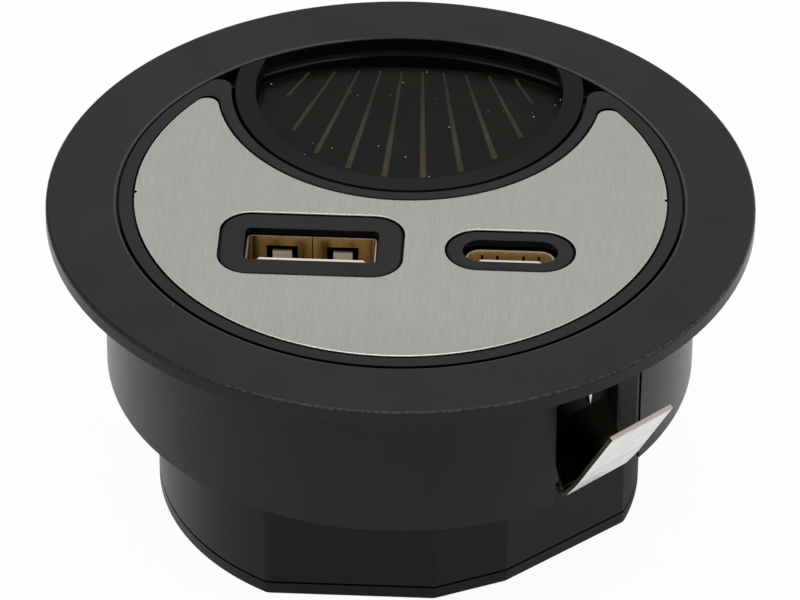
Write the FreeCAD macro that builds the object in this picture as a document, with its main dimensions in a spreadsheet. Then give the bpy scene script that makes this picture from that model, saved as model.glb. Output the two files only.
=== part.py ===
import FreeCAD, Part
import os
import re

import Sketcher
from FreeCAD import Placement, Rotation, Vector

# In-desk USB charger for a round desk hole. Millimetres and degrees.
# Z = 0 is the desk's surface, the origin is the middle of the hole, and the ports face -Y
# of the middle, with the half-moon cable outlet behind them at +Y.

# Driving sizes. Each one is a cell of the sheet.
SIZES = {
    # ring: flange on the desk and skirt in the hole
    "desk_hole_radius": 30.0,
    "hole_gap": 0.4,
    "flange_overlap": 5.3,
    "flange_thick": 1.6,
    "flange_round": 0.35,
    "skirt_wall": 2.2,
    "skirt_depth": 17.3,
    "ledge_width": 0.9,
    "seat_chamfer": 0.12,
    # groove that the face's hooks snap into
    "groove_depth": 0.6,
    "groove_top": 3.0,
    "groove_height": 1.6,
    # face moulding
    "insert_gap": 0.3,
    "outlet_centre": 18.85,
    "outlet_radius": 18.15,
    "insert_tip_round": 1.3,
    # aluminium plate in its recess
    "plate_border": 1.3,
    "plate_inner_border": 1.25,
    "plate_gap": 0.2,
    "plate_thick": 0.6,
    "plate_recess": 0.5,
    "plate_tip_round": 1.2,
    "nick_radius": 0.25,
    "nick_angle": 1.5,
    # port frames
    "ports_y": -8.7,
    "usb_a_x": -8.4,
    "usb_c_x": 11.2,
    "usb_a_frame_length": 17.95,
    "usb_a_frame_width": 10.0,
    "usb_a_frame_round": 3.0,
    "usb_c_frame_length": 12.55,
    "usb_c_frame_width": 6.45,
    "frame_gap": 0.17,
    "frame_edge_round": 0.15,
    # sockets
    "usb_a_length": 13.1,
    "usb_a_width": 5.15,
    "usb_a_sheet": 0.28,
    "usb_a_corner": 0.6,
    "usb_a_recess": 0.75,
    "usb_a_gap": 0.05,
    "usb_a_tongue_length": 11.1,
    "usb_a_tongue_thick": 1.84,
    "usb_a_tongue_offset": 0.43,
    "usb_a_tongue_recess": 0.9,
    "tongue_chamfer": 0.4,
    "usb_a_base_height": 2.0,
    "contact_width": 1.0,
    "contact_thick": 0.25,
    "contact_pitch": 2.4,
    "leaf_window_width": 3.1,
    "leaf_window_height": 5.0,
    "leaf_window_top": 1.1,
    "leaf_window_pitch": 6.0,
    "leaf_slot": 0.6,
    "usb_a_seam": 0.1,
    "usb_c_length": 9.0,
    "usb_c_width": 3.2,
    "usb_c_sheet": 0.3,
    "usb_c_recess": 0.95,
    "usb_c_gap": 0.2,
    "usb_c_depth": 7.0,
    "usb_c_tongue_length": 6.6,
    "usb_c_tongue_thick": 0.7,
    "usb_c_tongue_recess": 0.4,
    "usb_c_base_height": 3.4,
    "usb_c_leaf_pitch": 4.1,
    "usb_c_leaf_width": 1.5,
    "usb_c_slot": 0.25,
    "usb_c_slot_top": 0.55,
    "usb_c_slot_height": 3.5,
    "pad_pitch": 0.5,
    "pad_width": 0.26,
    "pad_thick": 0.06,
    "pad_end_gap": 0.5,
    "pad_count": 12,
    # lower body
    "body_gap": 0.63,
    "body_wall": 1.6,
    "body_depth": 32.6,
    "flat_depth": 3.26,
    "middle_flat_angle": 24.3,
    "side_flat_angle": 41.1,
    "body_corner_round": 1.2,
    "channel_gap": 0.35,
    "cover_thick": 1.75,
    "cover_chamfer": 0.3,
    "seam_height": 0.25,
    "seam_depth": 0.3,
    "rim_gap": 0.15,
    "rim_wall": 1.0,
    "rim_height": 1.2,
    # long screws with their columns in the housing and their bosses under the face
    "column_radius": 2.9,
    "column_overlap": 0.25,
    "column_angle": 16.0,
    "column_top": 6.2,
    "boss_radius": 2.5,
    "boss_depth": 6.0,
    "case_screw_radius": 1.25,
    "case_screw_gap": 0.2,
    "thread_gap": 0.05,
    "case_head_radius": 2.2,
    "case_head_height": 0.8,
    "head_gap": 0.2,
    "case_counterbore": 0.95,
    "case_screw_end": 1.5,
    # board and its posts
    "board_level": 12.0,
    "board_thick": 1.6,
    "board_gap": 0.5,
    "post_radius": 2.0,
    "board_screw_radius": 0.9,
    "board_screw_length": 6.0,
    "board_head_radius": 1.7,
    "board_head_height": 1.2,
    "post_gap": 0.95,
    "left_post_angle": 183.0,
    "right_post_angle": -12.3,
    "middle_x": 2.5,
    # hooks that hold the face in the ring
    "hook_width": 5.0,
    "hook_thick": 1.2,
    "hook_gap": 0.2,
    "hook_play": 0.1,
    # cable outlet: band, collar, lip and finger sheet
    "outlet_gap": 0.42,
    "band_width": 2.05,
    "band_end_round": 0.8,
    "collar_thick": 0.7,
    "collar_gap": 0.3,
    "lip_width": 1.0,
    "lip_thick": 0.8,
    "sheet_level": 0.5,
    "sheet_thick": 0.8,
    "sheet_gap": 0.1,
    "sheet_rear": 25.9,
    "sheet_rear_radius": 58.0,
    "slot_field_radius": 12.65,
    "slot_fan_y": 48.0,
    "slot_count": 10,
    "slot_pitch": 5.4,
    "slot_front_width": 0.72,
    "slot_rear_width": 0.3,
    # spring clips and their pockets
    "front_clip_angle": -46.0,
    "clip_width": 8.0,
    "clip_sheet": 0.42,
    "pocket_width": 10.75,
    "pocket_depth": 3.2,
    "pocket_top": 4.0,
    "holder_wall": 1.2,
    "pocket_corner_round": 0.5,
    "slit_offset": 0.3,
    "slit_width": 0.4,
    "slit_depth": 1.5,
    "hinge_offset": 2.2,
    "hinge_level": 16.2,
    "bead_radius": 0.35,
    "curl_gap": 0.1,
    "leg_top": 4.7,
    "leg_knee": 9.5,
    "crease_length": 2.9,
    "crease_angle": 34.0,
    "leaf_length": 9.25,
    "leaf_angle": 29.8,
    "barb_width": 0.65,
    "barb_height": 1.9,
    "barb_level": 7.3,
    "barb_offset": 1.05,
    "barb_lift": 0.45,
    # power inlet and electronics
    "inlet_x": -6.5,
    "inlet_y": -9.5,
    "inlet_radius": 4.2,
    "inlet_height": 9.5,
    "inlet_bore_radius": 2.8,
    "inlet_bore_depth": 8.5,
    "inlet_gap": 0.1,
    "pin_radius": 1.05,
    "pin_recess": 0.8,
    "lead_radius": 0.6,
    "lead_spacing": 4.0,
    "inductor_x": 9.6,
    "inductor_y": -8.6,
    "inductor_radius": 4.0,
    "inductor_height": 5.2,
    "inductor_core_radius": 2.4,
    "inductor_flange_thick": 0.9,
    "winding_inset": 0.3,
    "capacitor_radius": 2.5,
    "capacitor_height": 7.5,
    "capacitor_wall_gap": 2.45,
    "capacitor_gap": 0.8,
    "capacitor_angle": 201.0,
    "capacitor_edge": 0.3,
    "capacitor_groove": 0.35,
    "groove_level": 6.1,
    "chip_x": 13.8,
    "chip_y": -1.9,
    "chip_length": 5.0,
    "chip_height": 1.5,
}

doc = FreeCAD.newDocument("in_desk_usb_charger")
sheet = doc.addObject("Spreadsheet::Sheet", "Sizes")
for row, (alias, value) in enumerate(SIZES.items(), 1):
    sheet.set(f"A{row}", alias)
    sheet.set(f"B{row}", str(value))
    sheet.setAlias(f"B{row}", alias)
doc.recompute()

WORD = re.compile(r"[a-z][a-z_]*[a-z]")
UP = Vector(0, 0, 1)

# Radii that several pieces share, written with the sheet's names.
SKIRT = "(desk_hole_radius - hole_gap)"
SKIRT_BORE = f"({SKIRT} - skirt_wall)"
FLANGE = "(desk_hole_radius + flange_overlap)"
SEAT = f"({SKIRT_BORE} + ledge_width)"
INSERT = f"({SEAT} - insert_gap)"
POCKET_FLOOR = f"({SKIRT} - pocket_depth)"
HINGE = f"({POCKET_FLOOR} + hinge_offset)"
BODY = f"({POCKET_FLOOR} - holder_wall - body_gap)"
FLAT = f"({BODY} - flat_depth)"
BAND = "(outlet_radius - outlet_gap)"
BAND_BORE = f"({BAND} - band_width)"
COLLAR = f"({BAND_BORE} + collar_thick)"
CHANNEL = f"({COLLAR} + channel_gap)"
LIFT_RADIUS = f"({SKIRT_BORE} - collar_gap)"


# Sheet names and bound sizes

def formula(text):
    """The text with each of the sheet's names written as the sheet's own cell."""
    return WORD.sub(lambda m: "Sizes." + m.group() if m.group() in SIZES else m.group(), text)


def size(text):
    """The present value of a formula."""
    return float(sheet.evalExpression(formula(text)))


def bind(thing, **formulas):
    """Tie properties of a thing to formulas of the sheet's sizes."""
    for name, text in formulas.items():
        thing.setExpression(name, formula(text))


def place(thing, x="0", y="0", z="0", turn=None):
    """Put a thing at a place given by formulas, turned about Z."""
    angle = size(turn) if turn else 0
    thing.Placement = Placement(Vector(size(x), size(y), size(z)), Rotation(UP, angle))
    for axis, text in zip("xyz", (x, y, z)):
        thing.setExpression("Placement.Base." + axis, formula(text))
    if turn:
        thing.setExpression("Placement.Rotation.Angle", formula(turn))
    return thing


# Plain solids and their sums

def cylinder(name, radius, height, x="0", y="0", z="0"):
    thing = doc.addObject("Part::Cylinder", name)
    bind(thing, Radius=radius, Height=height)
    return place(thing, x, y, z)


def block(name, length, width, height, x="0", y="0", z="0"):
    """A box whose middle in plan is at x, y, and whose bottom is at z."""
    thing = doc.addObject("Part::Box", name)
    bind(thing, Length=length, Width=width, Height=height)
    return place(thing, f"{x} - ({length}) / 2", f"{y} - ({width}) / 2", z)


def fuse(name, *pieces):
    thing = doc.addObject("Part::MultiFuse", name)
    thing.Shapes = list(pieces)
    thing.Refine = True
    return thing


def cut(name, base, *tools):
    thing = doc.addObject("Part::Cut", name)
    thing.Base = base
    thing.Tool = tools[0] if len(tools) == 1 else fuse(name + "_tools", *tools)
    thing.Refine = True
    return thing


def common(name, base, tool):
    thing = doc.addObject("Part::Common", name)
    thing.Base = base
    thing.Tool = tool
    thing.Refine = True
    return thing


def group(name, pieces):
    thing = doc.addObject("Part::Compound", name)
    thing.Links = list(pieces)
    return thing


# Bodies made from sketches

def new_body(name):
    body = doc.addObject("PartDesign::Body", name)
    body.AllowCompound = True
    return body


def new_sketch(body, name, plane="XY", level="0"):
    """A sketch on one of the body's own planes, raised by level."""
    sketch = body.newObject("Sketcher::SketchObject", name)
    support = next(f for f in body.Origin.OriginFeatures if f.Role == plane + "_Plane")
    sketch.AttachmentSupport = [(support, "")]
    sketch.MapMode = "FlatFace"
    sketch.AttachmentOffset = Placement(Vector(0, 0, size(level)), Rotation())
    sketch.setExpression("AttachmentOffset.Base.z", formula(level))
    return sketch


def fix_point(sketch, curve, end, x, y):
    """Hold one end (or the centre) of a curve at x, y."""
    for kind, text in (("DistanceX", x), ("DistanceY", y)):
        rule = Sketcher.Constraint(kind, -1, 1, curve, end, size(text))
        sketch.setExpression(f"Constraints[{sketch.addConstraint(rule)}]", formula(text))


def draw_circle(sketch, radius, x="0", y="0"):
    centre = Vector(size(x), size(y), 0)
    curve = sketch.addGeometry(Part.Circle(centre, UP, size(radius)), False)
    fix_point(sketch, curve, 3, x, y)
    rule = sketch.addConstraint(Sketcher.Constraint("Radius", curve, size(radius)))
    sketch.setExpression(f"Constraints[{rule}]", formula(radius))


def draw_outline(sketch, corners, arcs=None):
    """A closed outline through corners. arcs gives, by the number of the corner that it
    leaves, an arc's centre, its radius and whether it runs anticlockwise."""
    arcs = arcs or {}
    points = [Vector(size(x), size(y), 0) for x, y in corners]
    ends = []
    for number, start in enumerate(points):
        finish = points[(number + 1) % len(points)]
        if number not in arcs:
            curve = sketch.addGeometry(Part.LineSegment(start, finish), False)
            ends.append((curve, 1, 2))
            continue
        x, y, radius, anticlockwise = arcs[number]
        centre = Vector(size(x), size(y), 0)
        first, last = (start, finish) if anticlockwise else (finish, start)
        angles = [(p - centre).getAngle(Vector(1, 0, 0)) * (1 if p.y >= centre.y else -1)
                  for p in (first, last)]
        circle = Part.Circle(centre, UP, size(radius))
        curve = sketch.addGeometry(Part.ArcOfCircle(circle, *angles), False)
        ends.append((curve, 1, 2) if anticlockwise else (curve, 2, 1))
        rule = sketch.addConstraint(Sketcher.Constraint("Radius", curve, size(radius)))
        sketch.setExpression(f"Constraints[{rule}]", formula(radius))
    for number, (curve, start, _) in enumerate(ends):
        before, _, finish = ends[number - 1]
        sketch.addConstraint(Sketcher.Constraint("Coincident", before, finish, curve, start))
        fix_point(sketch, curve, start, *corners[number])


def rectangle(length, width, x="0", y="0"):
    """The four corners of a rectangle about x, y."""
    signs = ((-1, -1), (1, -1), (1, 1), (-1, 1))
    return [(f"{x} + ({i}) * ({length}) / 2", f"{y} + ({j}) * ({width}) / 2") for i, j in signs]


def pad(body, sketch, height, midplane=False):
    feature = body.newObject("PartDesign::Pad", sketch.Name + "_pad")
    feature.Profile = sketch
    bind(feature, Length=height)
    feature.Midplane = midplane
    return feature


def pocket(body, sketch, depth):
    """Cut downwards from the sketch."""
    feature = body.newObject("PartDesign::Pocket", sketch.Name + "_pocket")
    feature.Profile = sketch
    bind(feature, Length=depth)
    return feature


def revolve(body, sketch):
    feature = body.newObject("PartDesign::Revolution", sketch.Name + "_turned")
    feature.Profile = sketch
    feature.ReferenceAxis = (sketch, ["V_Axis"])
    feature.Angle = 360
    return feature


def dress(body, kind, radius, wanted):
    """Fillet or chamfer the edges of the body's tip that wanted picks."""
    doc.recompute()
    tip = body.Tip
    names = [f"Edge{n}" for n, edge in enumerate(tip.Shape.Edges, 1) if wanted(edge)]
    if not names:
        raise SystemExit(f"no edges to finish on {body.Name}")
    feature = body.newObject("PartDesign::" + kind, f"{tip.Name}_{kind.lower()}")
    feature.Base = (tip, names)
    bind(feature, **{"Radius" if kind == "Fillet" else "Size": radius})
    return feature


def upright(edge):
    """A straight edge along Z."""
    if edge.Curve.TypeId != "Part::GeomLine":
        return False
    run = edge.Vertexes[-1].Point - edge.Vertexes[0].Point
    return abs(abs(run.z) - run.Length) < 1e-6


def flat_edge_at(level):
    """Picks the edges that lie flat at one level."""
    return lambda edge: all(abs(v.Point.z - level) < 1e-6 for v in edge.Vertexes)


def rounded_block(name, length, width, height, corner, x, y, z):
    """A block with rounded upright corners, its bottom at z."""
    body = new_body(name)
    sketch = new_sketch(body, name + "_outline")
    draw_outline(sketch, rectangle(length, width))
    pad(body, sketch, height)
    dress(body, "Fillet", corner, upright)
    return place(body, x, y, z)


def crescent(name, outer, inner, tip, height, z):
    """A disc about the axis without the outlet's disc, with rounded horn tips."""
    body = new_body(name)
    sketch = new_sketch(body, name + "_disc")
    draw_circle(sketch, outer)
    pad(body, sketch, height)
    outlet = new_sketch(body, name + "_outlet", level=height)
    draw_circle(outlet, inner, y="outlet_centre")
    pocket(body, outlet, height)
    dress(body, "Fillet", tip, upright)
    return place(body, z=z)


def lower_core(name, inset, height, z, corner=None):
    """The lower body's outline, drawn in by inset: a disc with three flats, less the channel."""
    body = new_body(name)
    disc = new_sketch(body, name + "_disc")
    draw_circle(disc, f"{BODY} - ({inset})")
    pad(body, disc, height)
    for number, angle in enumerate(("0", "middle_flat_angle", "side_flat_angle"), 1):
        flat = new_sketch(body, f"{name}_flat_{number}", level=height)
        flat.AttachmentOffset = Placement(flat.AttachmentOffset.Base, Rotation(UP, size(angle)))
        bind(flat, **{"AttachmentOffset.Rotation.Angle": angle})
        span = f"2 * {BODY}"
        middle = f"-({FLAT} - ({inset}) + {BODY})"
        draw_outline(flat, rectangle(span, span, y=middle))
        pocket(body, flat, height)
    channel = new_sketch(body, name + "_channel", level=height)
    draw_circle(channel, f"{CHANNEL} + ({inset})", y="outlet_centre")
    pocket(body, channel, height)
    if corner:
        dress(body, "Fillet", corner, upright)
    return place(body, z=z)


def turned(name, corners, arcs=None):
    """A solid of revolution about Z from corners given as radius and height."""
    body = new_body(name)
    sketch = new_sketch(body, name + "_profile", "XZ")
    draw_outline(sketch, corners, arcs)
    revolve(body, sketch)
    return body


def side_profile(name, width, corners, arcs=None):
    """A solid of even width across Y, from corners given as X and Z."""
    body = new_body(name)
    sketch = new_sketch(body, name + "_profile", "XZ")
    draw_outline(sketch, corners, arcs)
    pad(body, sketch, width, midplane=True)
    return body


# Places that several pieces share

COLUMN_REACH = f"({BODY} - body_wall - column_radius + column_overlap)"
COLUMN_FRONT = f"({FLAT} - body_wall - column_radius + column_overlap)"
COLUMNS = {
    "right": (f"{COLUMN_REACH} * cos(column_angle)", f"{COLUMN_REACH} * sin(column_angle)"),
    "left": (f"-{COLUMN_REACH} * cos(column_angle)", f"{COLUMN_REACH} * sin(column_angle)"),
    "front": ("middle_x", f"-{COLUMN_FRONT}"),
}
POST_REACH = f"({BODY} - body_wall - post_gap - post_radius)"
POSTS = {
    "left": (f"{POST_REACH} * cos(left_post_angle)", f"{POST_REACH} * sin(left_post_angle)"),
    "middle": ("middle_x", f"-{COLUMN_FRONT} + column_radius + post_gap + post_radius"),
    "right": (f"{POST_REACH} * cos(right_post_angle)", f"{POST_REACH} * sin(right_post_angle)"),
}
CLIPS = {"front": "front_clip_angle", "rear": "front_clip_angle + 180"}
HOOKS = {"left": "180 + 15", "right": "-15", "front": "-90 - 15"}


# Ring

def make_flange_ring():
    ring = turned("ring_body", [
        (SKIRT_BORE, "-skirt_depth"),
        (SKIRT, "-skirt_depth"),
        (SKIRT, "0"),
        (FLANGE, "0"),
        (FLANGE, "flange_thick"),
        (SEAT, "flange_thick"),
        (SEAT, "0"),
        (SKIRT_BORE, "0"),
        (SKIRT_BORE, "-groove_top"),
        (f"{SKIRT_BORE} + groove_depth", "-groove_top"),
        (f"{SKIRT_BORE} + groove_depth", "-groove_top - groove_height"),
        (SKIRT_BORE, "-groove_top - groove_height"),
    ])
    top = size("flange_thick")
    rim = size(FLANGE)
    dress(ring, "Fillet", "flange_round",
          lambda edge: flat_edge_at(top)(edge) and abs(edge.Curve.Radius - rim) < 1e-6)
    bore = size(SEAT)
    dress(ring, "Chamfer", "seat_chamfer",
          lambda edge: flat_edge_at(top)(edge) and abs(edge.Curve.Radius - bore) < 1e-6)
    holders = []
    openings = []
    for side, angle in CLIPS.items():
        holders.append(clip_holder(side, angle))
        openings += [clip_pocket(side, angle), pocket_corners(side, angle)]
    shell = fuse("ring_with_holders", ring, *holders)
    return cut("flange_ring", shell, *openings)


def clip_holder(side, angle):
    """Inward box on the skirt's wall that backs a clip's pocket."""
    body = new_body(f"{side}_holder")
    sketch = new_sketch(body, f"{side}_holder_outline")
    inner = f"{POCKET_FLOOR} - holder_wall"
    outer = f"{SKIRT} - skirt_wall / 2"
    half = "(pocket_width / 2 + holder_wall)"
    draw_outline(sketch, [(inner, f"-{half}"), (outer, f"-{half}"), (outer, half), (inner, half)])
    pad(body, sketch, "skirt_depth - pocket_top + holder_wall")
    return place(body, z="-skirt_depth", turn=angle)


def clip_pocket(side, angle):
    """Space for a clip, open outwards and below, with the slit beside it."""
    body = new_body(f"{side}_pocket")
    sketch = new_sketch(body, f"{side}_pocket_outline")
    half = "pocket_width / 2"
    outer = FLANGE
    slit = f"{half} + slit_offset"
    draw_outline(sketch, [(POCKET_FLOOR, f"-{half}"), (outer, f"-{half}"),
                          (outer, half), (POCKET_FLOOR, half)])
    draw_outline(sketch, [(f"{SKIRT} - slit_depth", slit), (outer, slit),
                          (outer, f"{slit} + slit_width"),
                          (f"{SKIRT} - slit_depth", f"{slit} + slit_width")])
    pad(body, sketch, "2 * skirt_depth - pocket_top")
    return place(body, z="-2 * skirt_depth", turn=angle)


def pocket_corners(side, angle):
    """What rounds off the two lower corners of the skirt's wall beside a pocket."""
    body = new_body(f"{side}_pocket_corners")
    sketch = new_sketch(body, f"{side}_pocket_corner_outline", "YZ", POCKET_FLOOR)
    half = "pocket_width / 2"
    low = "-skirt_depth"
    reach = f"{half} + pocket_corner_round"
    high = f"{low} + pocket_corner_round"
    draw_outline(sketch, [(half, low), (reach, low), (half, high)],
                 {1: (reach, high, "pocket_corner_round", False)})
    draw_outline(sketch, [(f"-{half}", low), (f"-{half}", high), (f"-({reach})", low)],
                 {1: (f"-({reach})", high, "pocket_corner_round", False)})
    pad(body, sketch, f"{FLANGE} - {POCKET_FLOOR}")
    return place(body, turn=angle)


# Face

def make_face_insert():
    slab = crescent("insert_slab", INSERT, "outlet_radius", "insert_tip_round", "flange_thick", "0")
    recess = crescent("plate_recess_space", f"{INSERT} - plate_border",
                      "outlet_radius + plate_inner_border", "plate_tip_round",
                      "flange_thick", "flange_thick - plate_recess")
    frames = [port_frame("usb_a", "usb_a_frame_round"),
              port_frame("usb_c", "usb_c_frame_width * 0.497")]
    posts = [cylinder(f"{side}_post", "post_radius", "board_level + flange_thick / 4", x, y,
                      "-board_level") for side, (x, y) in POSTS.items()]
    bosses = [cylinder(f"{side}_boss", "boss_radius", "boss_depth + flange_thick / 4", x, y,
                       "-boss_depth") for side, (x, y) in COLUMNS.items()]
    hooks = [face_hook(side, angle) for side, angle in HOOKS.items()]
    solid = fuse("insert_solid", cut("insert_frame", slab, recess), *frames, *posts, *bosses, *hooks)
    pilots = [cylinder(f"{side}_post_pilot", "board_screw_radius + thread_gap",
                       "board_screw_length - board_thick + 2 * head_gap", x, y, "-board_level")
              for side, (x, y) in POSTS.items()]
    pilots += [cylinder(f"{side}_boss_pilot", "case_screw_radius + thread_gap",
                        "boss_depth - case_screw_end + head_gap", x, y, "-boss_depth")
               for side, (x, y) in COLUMNS.items()]
    openings = [port_opening("usb_a", "usb_a_corner"),
                port_opening("usb_c", "(usb_c_width + 2 * usb_c_gap) * 0.494")]
    return cut("face_insert", solid, *pilots, *openings)


def port_frame(port, corner):
    """Raised black frame round a port, level with the ring."""
    body = rounded_block(f"{port}_frame", f"{port}_frame_length", f"{port}_frame_width",
                         "flange_thick * 3 / 4", corner, f"{port}_x", "ports_y",
                         "flange_thick / 4")
    top = size("flange_thick * 3 / 4")
    dress(body, "Fillet", "frame_edge_round", flat_edge_at(top))
    return body


def port_opening(port, corner):
    """Hole through the face, a little larger than the port's shell."""
    return rounded_block(f"{port}_opening", f"{port}_length + 2 * {port}_gap",
                         f"{port}_width + 2 * {port}_gap", "3 * flange_thick", corner,
                         f"{port}_x", "ports_y", "-flange_thick")


def face_hook(side, angle):
    """Springy hook under the face whose nose snaps into the ring's groove."""
    wall = f"{SKIRT_BORE} - hook_gap"
    nose = f"{SKIRT_BORE} + groove_depth - hook_gap"
    top = "-groove_top - hook_play"
    bottom = "-groove_top - groove_height + hook_play"
    body = side_profile(f"{side}_hook", "hook_width", [
        (f"{wall} - hook_thick", "flange_thick / 4"),
        (f"{wall} - hook_thick", bottom),
        (f"{wall}", bottom),
        (nose, top),
        (wall, top),
        (wall, "flange_thick / 4"),
    ])
    return place(body, turn=angle)


PLATE = f"({INSERT} - plate_border - plate_gap)"


def make_face_plate():
    plate = crescent("plate_blank", PLATE,
                     "outlet_radius + plate_inner_border + plate_gap", "plate_tip_round",
                     "plate_thick", "flange_thick - plate_recess")
    windows = [cylinder(f"plate_nick_{number}", "nick_radius", "flange_thick",
                        f"{PLATE} * cos({angle})", f"{PLATE} * sin({angle})", "flange_thick / 2")
               for number, angle in enumerate(("nick_angle", "nick_angle + 180"), 1)]
    for port, corner in (("usb_a", "usb_a_frame_round + frame_gap"),
                         ("usb_c", "(usb_c_frame_width + 2 * frame_gap) * 0.497")):
        windows.append(rounded_block(
            f"{port}_window", f"{port}_frame_length + 2 * frame_gap",
            f"{port}_frame_width + 2 * frame_gap", "flange_thick", corner,
            f"{port}_x", "ports_y", "flange_thick / 2"))
    return cut("face_plate", plate, *windows)


# Sockets

def tube(name, length, width, wall, corner, height, x, y, z):
    """Sheet-metal tube with rounded corners, standing on end."""
    outer = rounded_block(name + "_outside", length, width, height, corner, x, y, z)
    inner = rounded_block(name + "_inside", f"{length} - 2 * {wall}", f"{width} - 2 * {wall}",
                          f"{height} + 2 * {wall}", f"{corner} - {wall}", x, y, f"{z} - {wall}")
    return cut(name, outer, inner)


def make_usb_a_shell():
    rim = "flange_thick - usb_a_recess"
    shell = tube("usb_a_tube", "usb_a_length", "usb_a_width", "usb_a_sheet", "usb_a_corner",
                 "flange_thick - usb_a_recess + board_level", "usb_a_x", "ports_y", "-board_level")
    slots = []
    for side, half in (("left", "-leaf_window_pitch / 2"), ("right", "leaf_window_pitch / 2")):
        middle = f"usb_a_x + ({half})"
        reach = "(leaf_window_width - leaf_slot) / 2"
        bottom = f"{rim} - leaf_window_top - leaf_window_height"
        for edge in ("-", ""):
            slots.append(block(f"{side}_slot_{'b' if edge else 'a'}", "leaf_slot",
                               "2 * usb_a_width", "leaf_window_height",
                               f"{middle} + {edge}{reach}", "ports_y", bottom))
        slots.append(block(f"{side}_slot_top", "leaf_window_width", "2 * usb_a_width",
                           "leaf_slot", middle, "ports_y",
                           f"{rim} - leaf_window_top - leaf_slot"))
    slots.append(block("usb_a_seam_gap", "usb_a_seam", "usb_a_width", "3 * board_level",
                       "usb_a_x", "ports_y + usb_a_width / 2", "-2 * board_level"))
    return cut("usb_a_shell", shell, *slots)


def usb_a_inner_front():
    """The front wall's inner face, as a formula for Y."""
    return "ports_y - usb_a_width / 2 + usb_a_sheet"


def make_usb_a_tongue():
    base = rounded_block("usb_a_base", "usb_a_length - 2 * usb_a_sheet - 2 * usb_a_gap",
                         "usb_a_width - 2 * usb_a_sheet - 2 * usb_a_gap", "usb_a_base_height",
                         "usb_a_corner - usb_a_sheet", "usb_a_x", "ports_y", "-board_level")
    blade = tongue_blade("usb_a", "flange_thick - usb_a_recess - usb_a_tongue_recess",
                         "-board_level")
    place(blade, "usb_a_x",
          f"{usb_a_inner_front()} + usb_a_tongue_offset + usb_a_tongue_thick / 2")
    return fuse("usb_a_tongue", base, blade)


def tongue_blade(port, top, bottom):
    """The thin tongue that a plug slides over, its two free corners cut off."""
    half = f"{port}_tongue_length / 2"
    return side_profile(f"{port}_blade", f"{port}_tongue_thick", [
        (f"-{half}", bottom),
        (half, bottom),
        (half, f"{top} - tongue_chamfer"),
        (f"{half} - tongue_chamfer", top),
        (f"-{half} + tongue_chamfer", top),
        (f"-{half}", f"{top} - tongue_chamfer"),
    ])


def make_usb_a_contacts():
    face = f"{usb_a_inner_front()} + usb_a_tongue_offset + usb_a_tongue_thick"
    bottom = "-board_level + usb_a_base_height"
    height = "flange_thick - usb_a_recess - 2 * usb_a_tongue_recess + board_level - usb_a_base_height"
    strips = [block(f"usb_a_contact_{n}", "contact_width", "contact_thick", height,
                    f"usb_a_x + ({n} - 2.5) * contact_pitch", f"{face} + contact_thick / 2", bottom)
              for n in range(1, 5)]
    return group("usb_a_contacts", strips)


USB_C_BOTTOM = "(flange_thick - usb_c_recess - usb_c_depth)"


def make_usb_c_shell():
    shell = tube("usb_c_tube", "usb_c_length", "usb_c_width", "usb_c_sheet",
                 "usb_c_width * 0.494", "usb_c_depth", "usb_c_x", "ports_y", USB_C_BOTTOM)
    bottom = "flange_thick - usb_c_recess - usb_c_slot_top - usb_c_slot_height"
    slots = [block(f"usb_c_slot_{number}", "usb_c_slot", "2 * usb_c_width", "usb_c_slot_height",
                   f"usb_c_x + {leaf}usb_c_leaf_pitch / 2 + {edge}usb_c_leaf_width / 2",
                   "ports_y", bottom)
             for number, (leaf, edge) in enumerate((("-", "-"), ("-", ""), ("", "-"), ("", "")), 1)]
    return cut("usb_c_shell", shell, *slots)


def make_usb_c_tongue():
    """Insulating block on the board under the shell, with the thin blade standing in it."""
    foot = block("usb_c_foot", "usb_c_length", "usb_c_width + 2 * usb_c_sheet",
                 f"board_level + {USB_C_BOTTOM}", "usb_c_x", "ports_y", "-board_level")
    plug = rounded_block("usb_c_plug", "usb_c_length - 2 * usb_c_sheet - 2 * usb_a_gap",
                         "usb_c_width - 2 * usb_c_sheet - 2 * usb_a_gap", "usb_c_base_height / 2",
                         "(usb_c_width - 2 * usb_c_sheet - 2 * usb_a_gap) * 0.49",
                         "usb_c_x", "ports_y", f"{USB_C_BOTTOM} - usb_c_sheet")
    blade = tongue_blade("usb_c", "flange_thick - usb_c_recess - usb_c_tongue_recess",
                         f"{USB_C_BOTTOM} - usb_c_sheet")
    place(blade, "usb_c_x", "ports_y")
    return fuse("usb_c_tongue", foot, plug, blade)


def make_usb_c_contacts():
    bottom = f"{USB_C_BOTTOM} + usb_c_base_height / 2"
    height = "usb_c_depth - usb_c_tongue_recess - usb_c_base_height / 2 - pad_end_gap"
    pads = []
    for face, sign in (("rear", ""), ("front", "-")):
        y = f"ports_y + {sign}(usb_c_tongue_thick + pad_thick) / 2"
        for n in range(1, int(size("pad_count")) + 1):
            x = f"usb_c_x + ({n} - (pad_count + 1) / 2) * pad_pitch"
            pads.append(block(f"{face}_pad_{n}", "pad_width", "pad_thick", height, x, y, bottom))
    return group("usb_c_contacts", pads)


# Lower body

def make_lower_housing():
    height = "body_depth - cover_thick"
    outside = lower_core("housing_outside", "0", height, f"-({height})", "body_corner_round")
    inside = lower_core("housing_inside", "body_wall", f"{height} + 2 * body_wall",
                        f"-({height}) - body_wall")
    columns = [cylinder(f"{side}_column", "column_radius", f"{height} - column_top", x, y,
                        f"-({height})") for side, (x, y) in COLUMNS.items()]
    bores = [cylinder(f"{side}_column_bore", "case_screw_radius + case_screw_gap",
                      "2 * body_depth", x, y, "-2 * body_depth")
             for side, (x, y) in COLUMNS.items()]
    solid = fuse("housing_solid", cut("housing_wall", outside, inside), *columns)
    return cut("lower_housing", solid, *bores)


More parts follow.
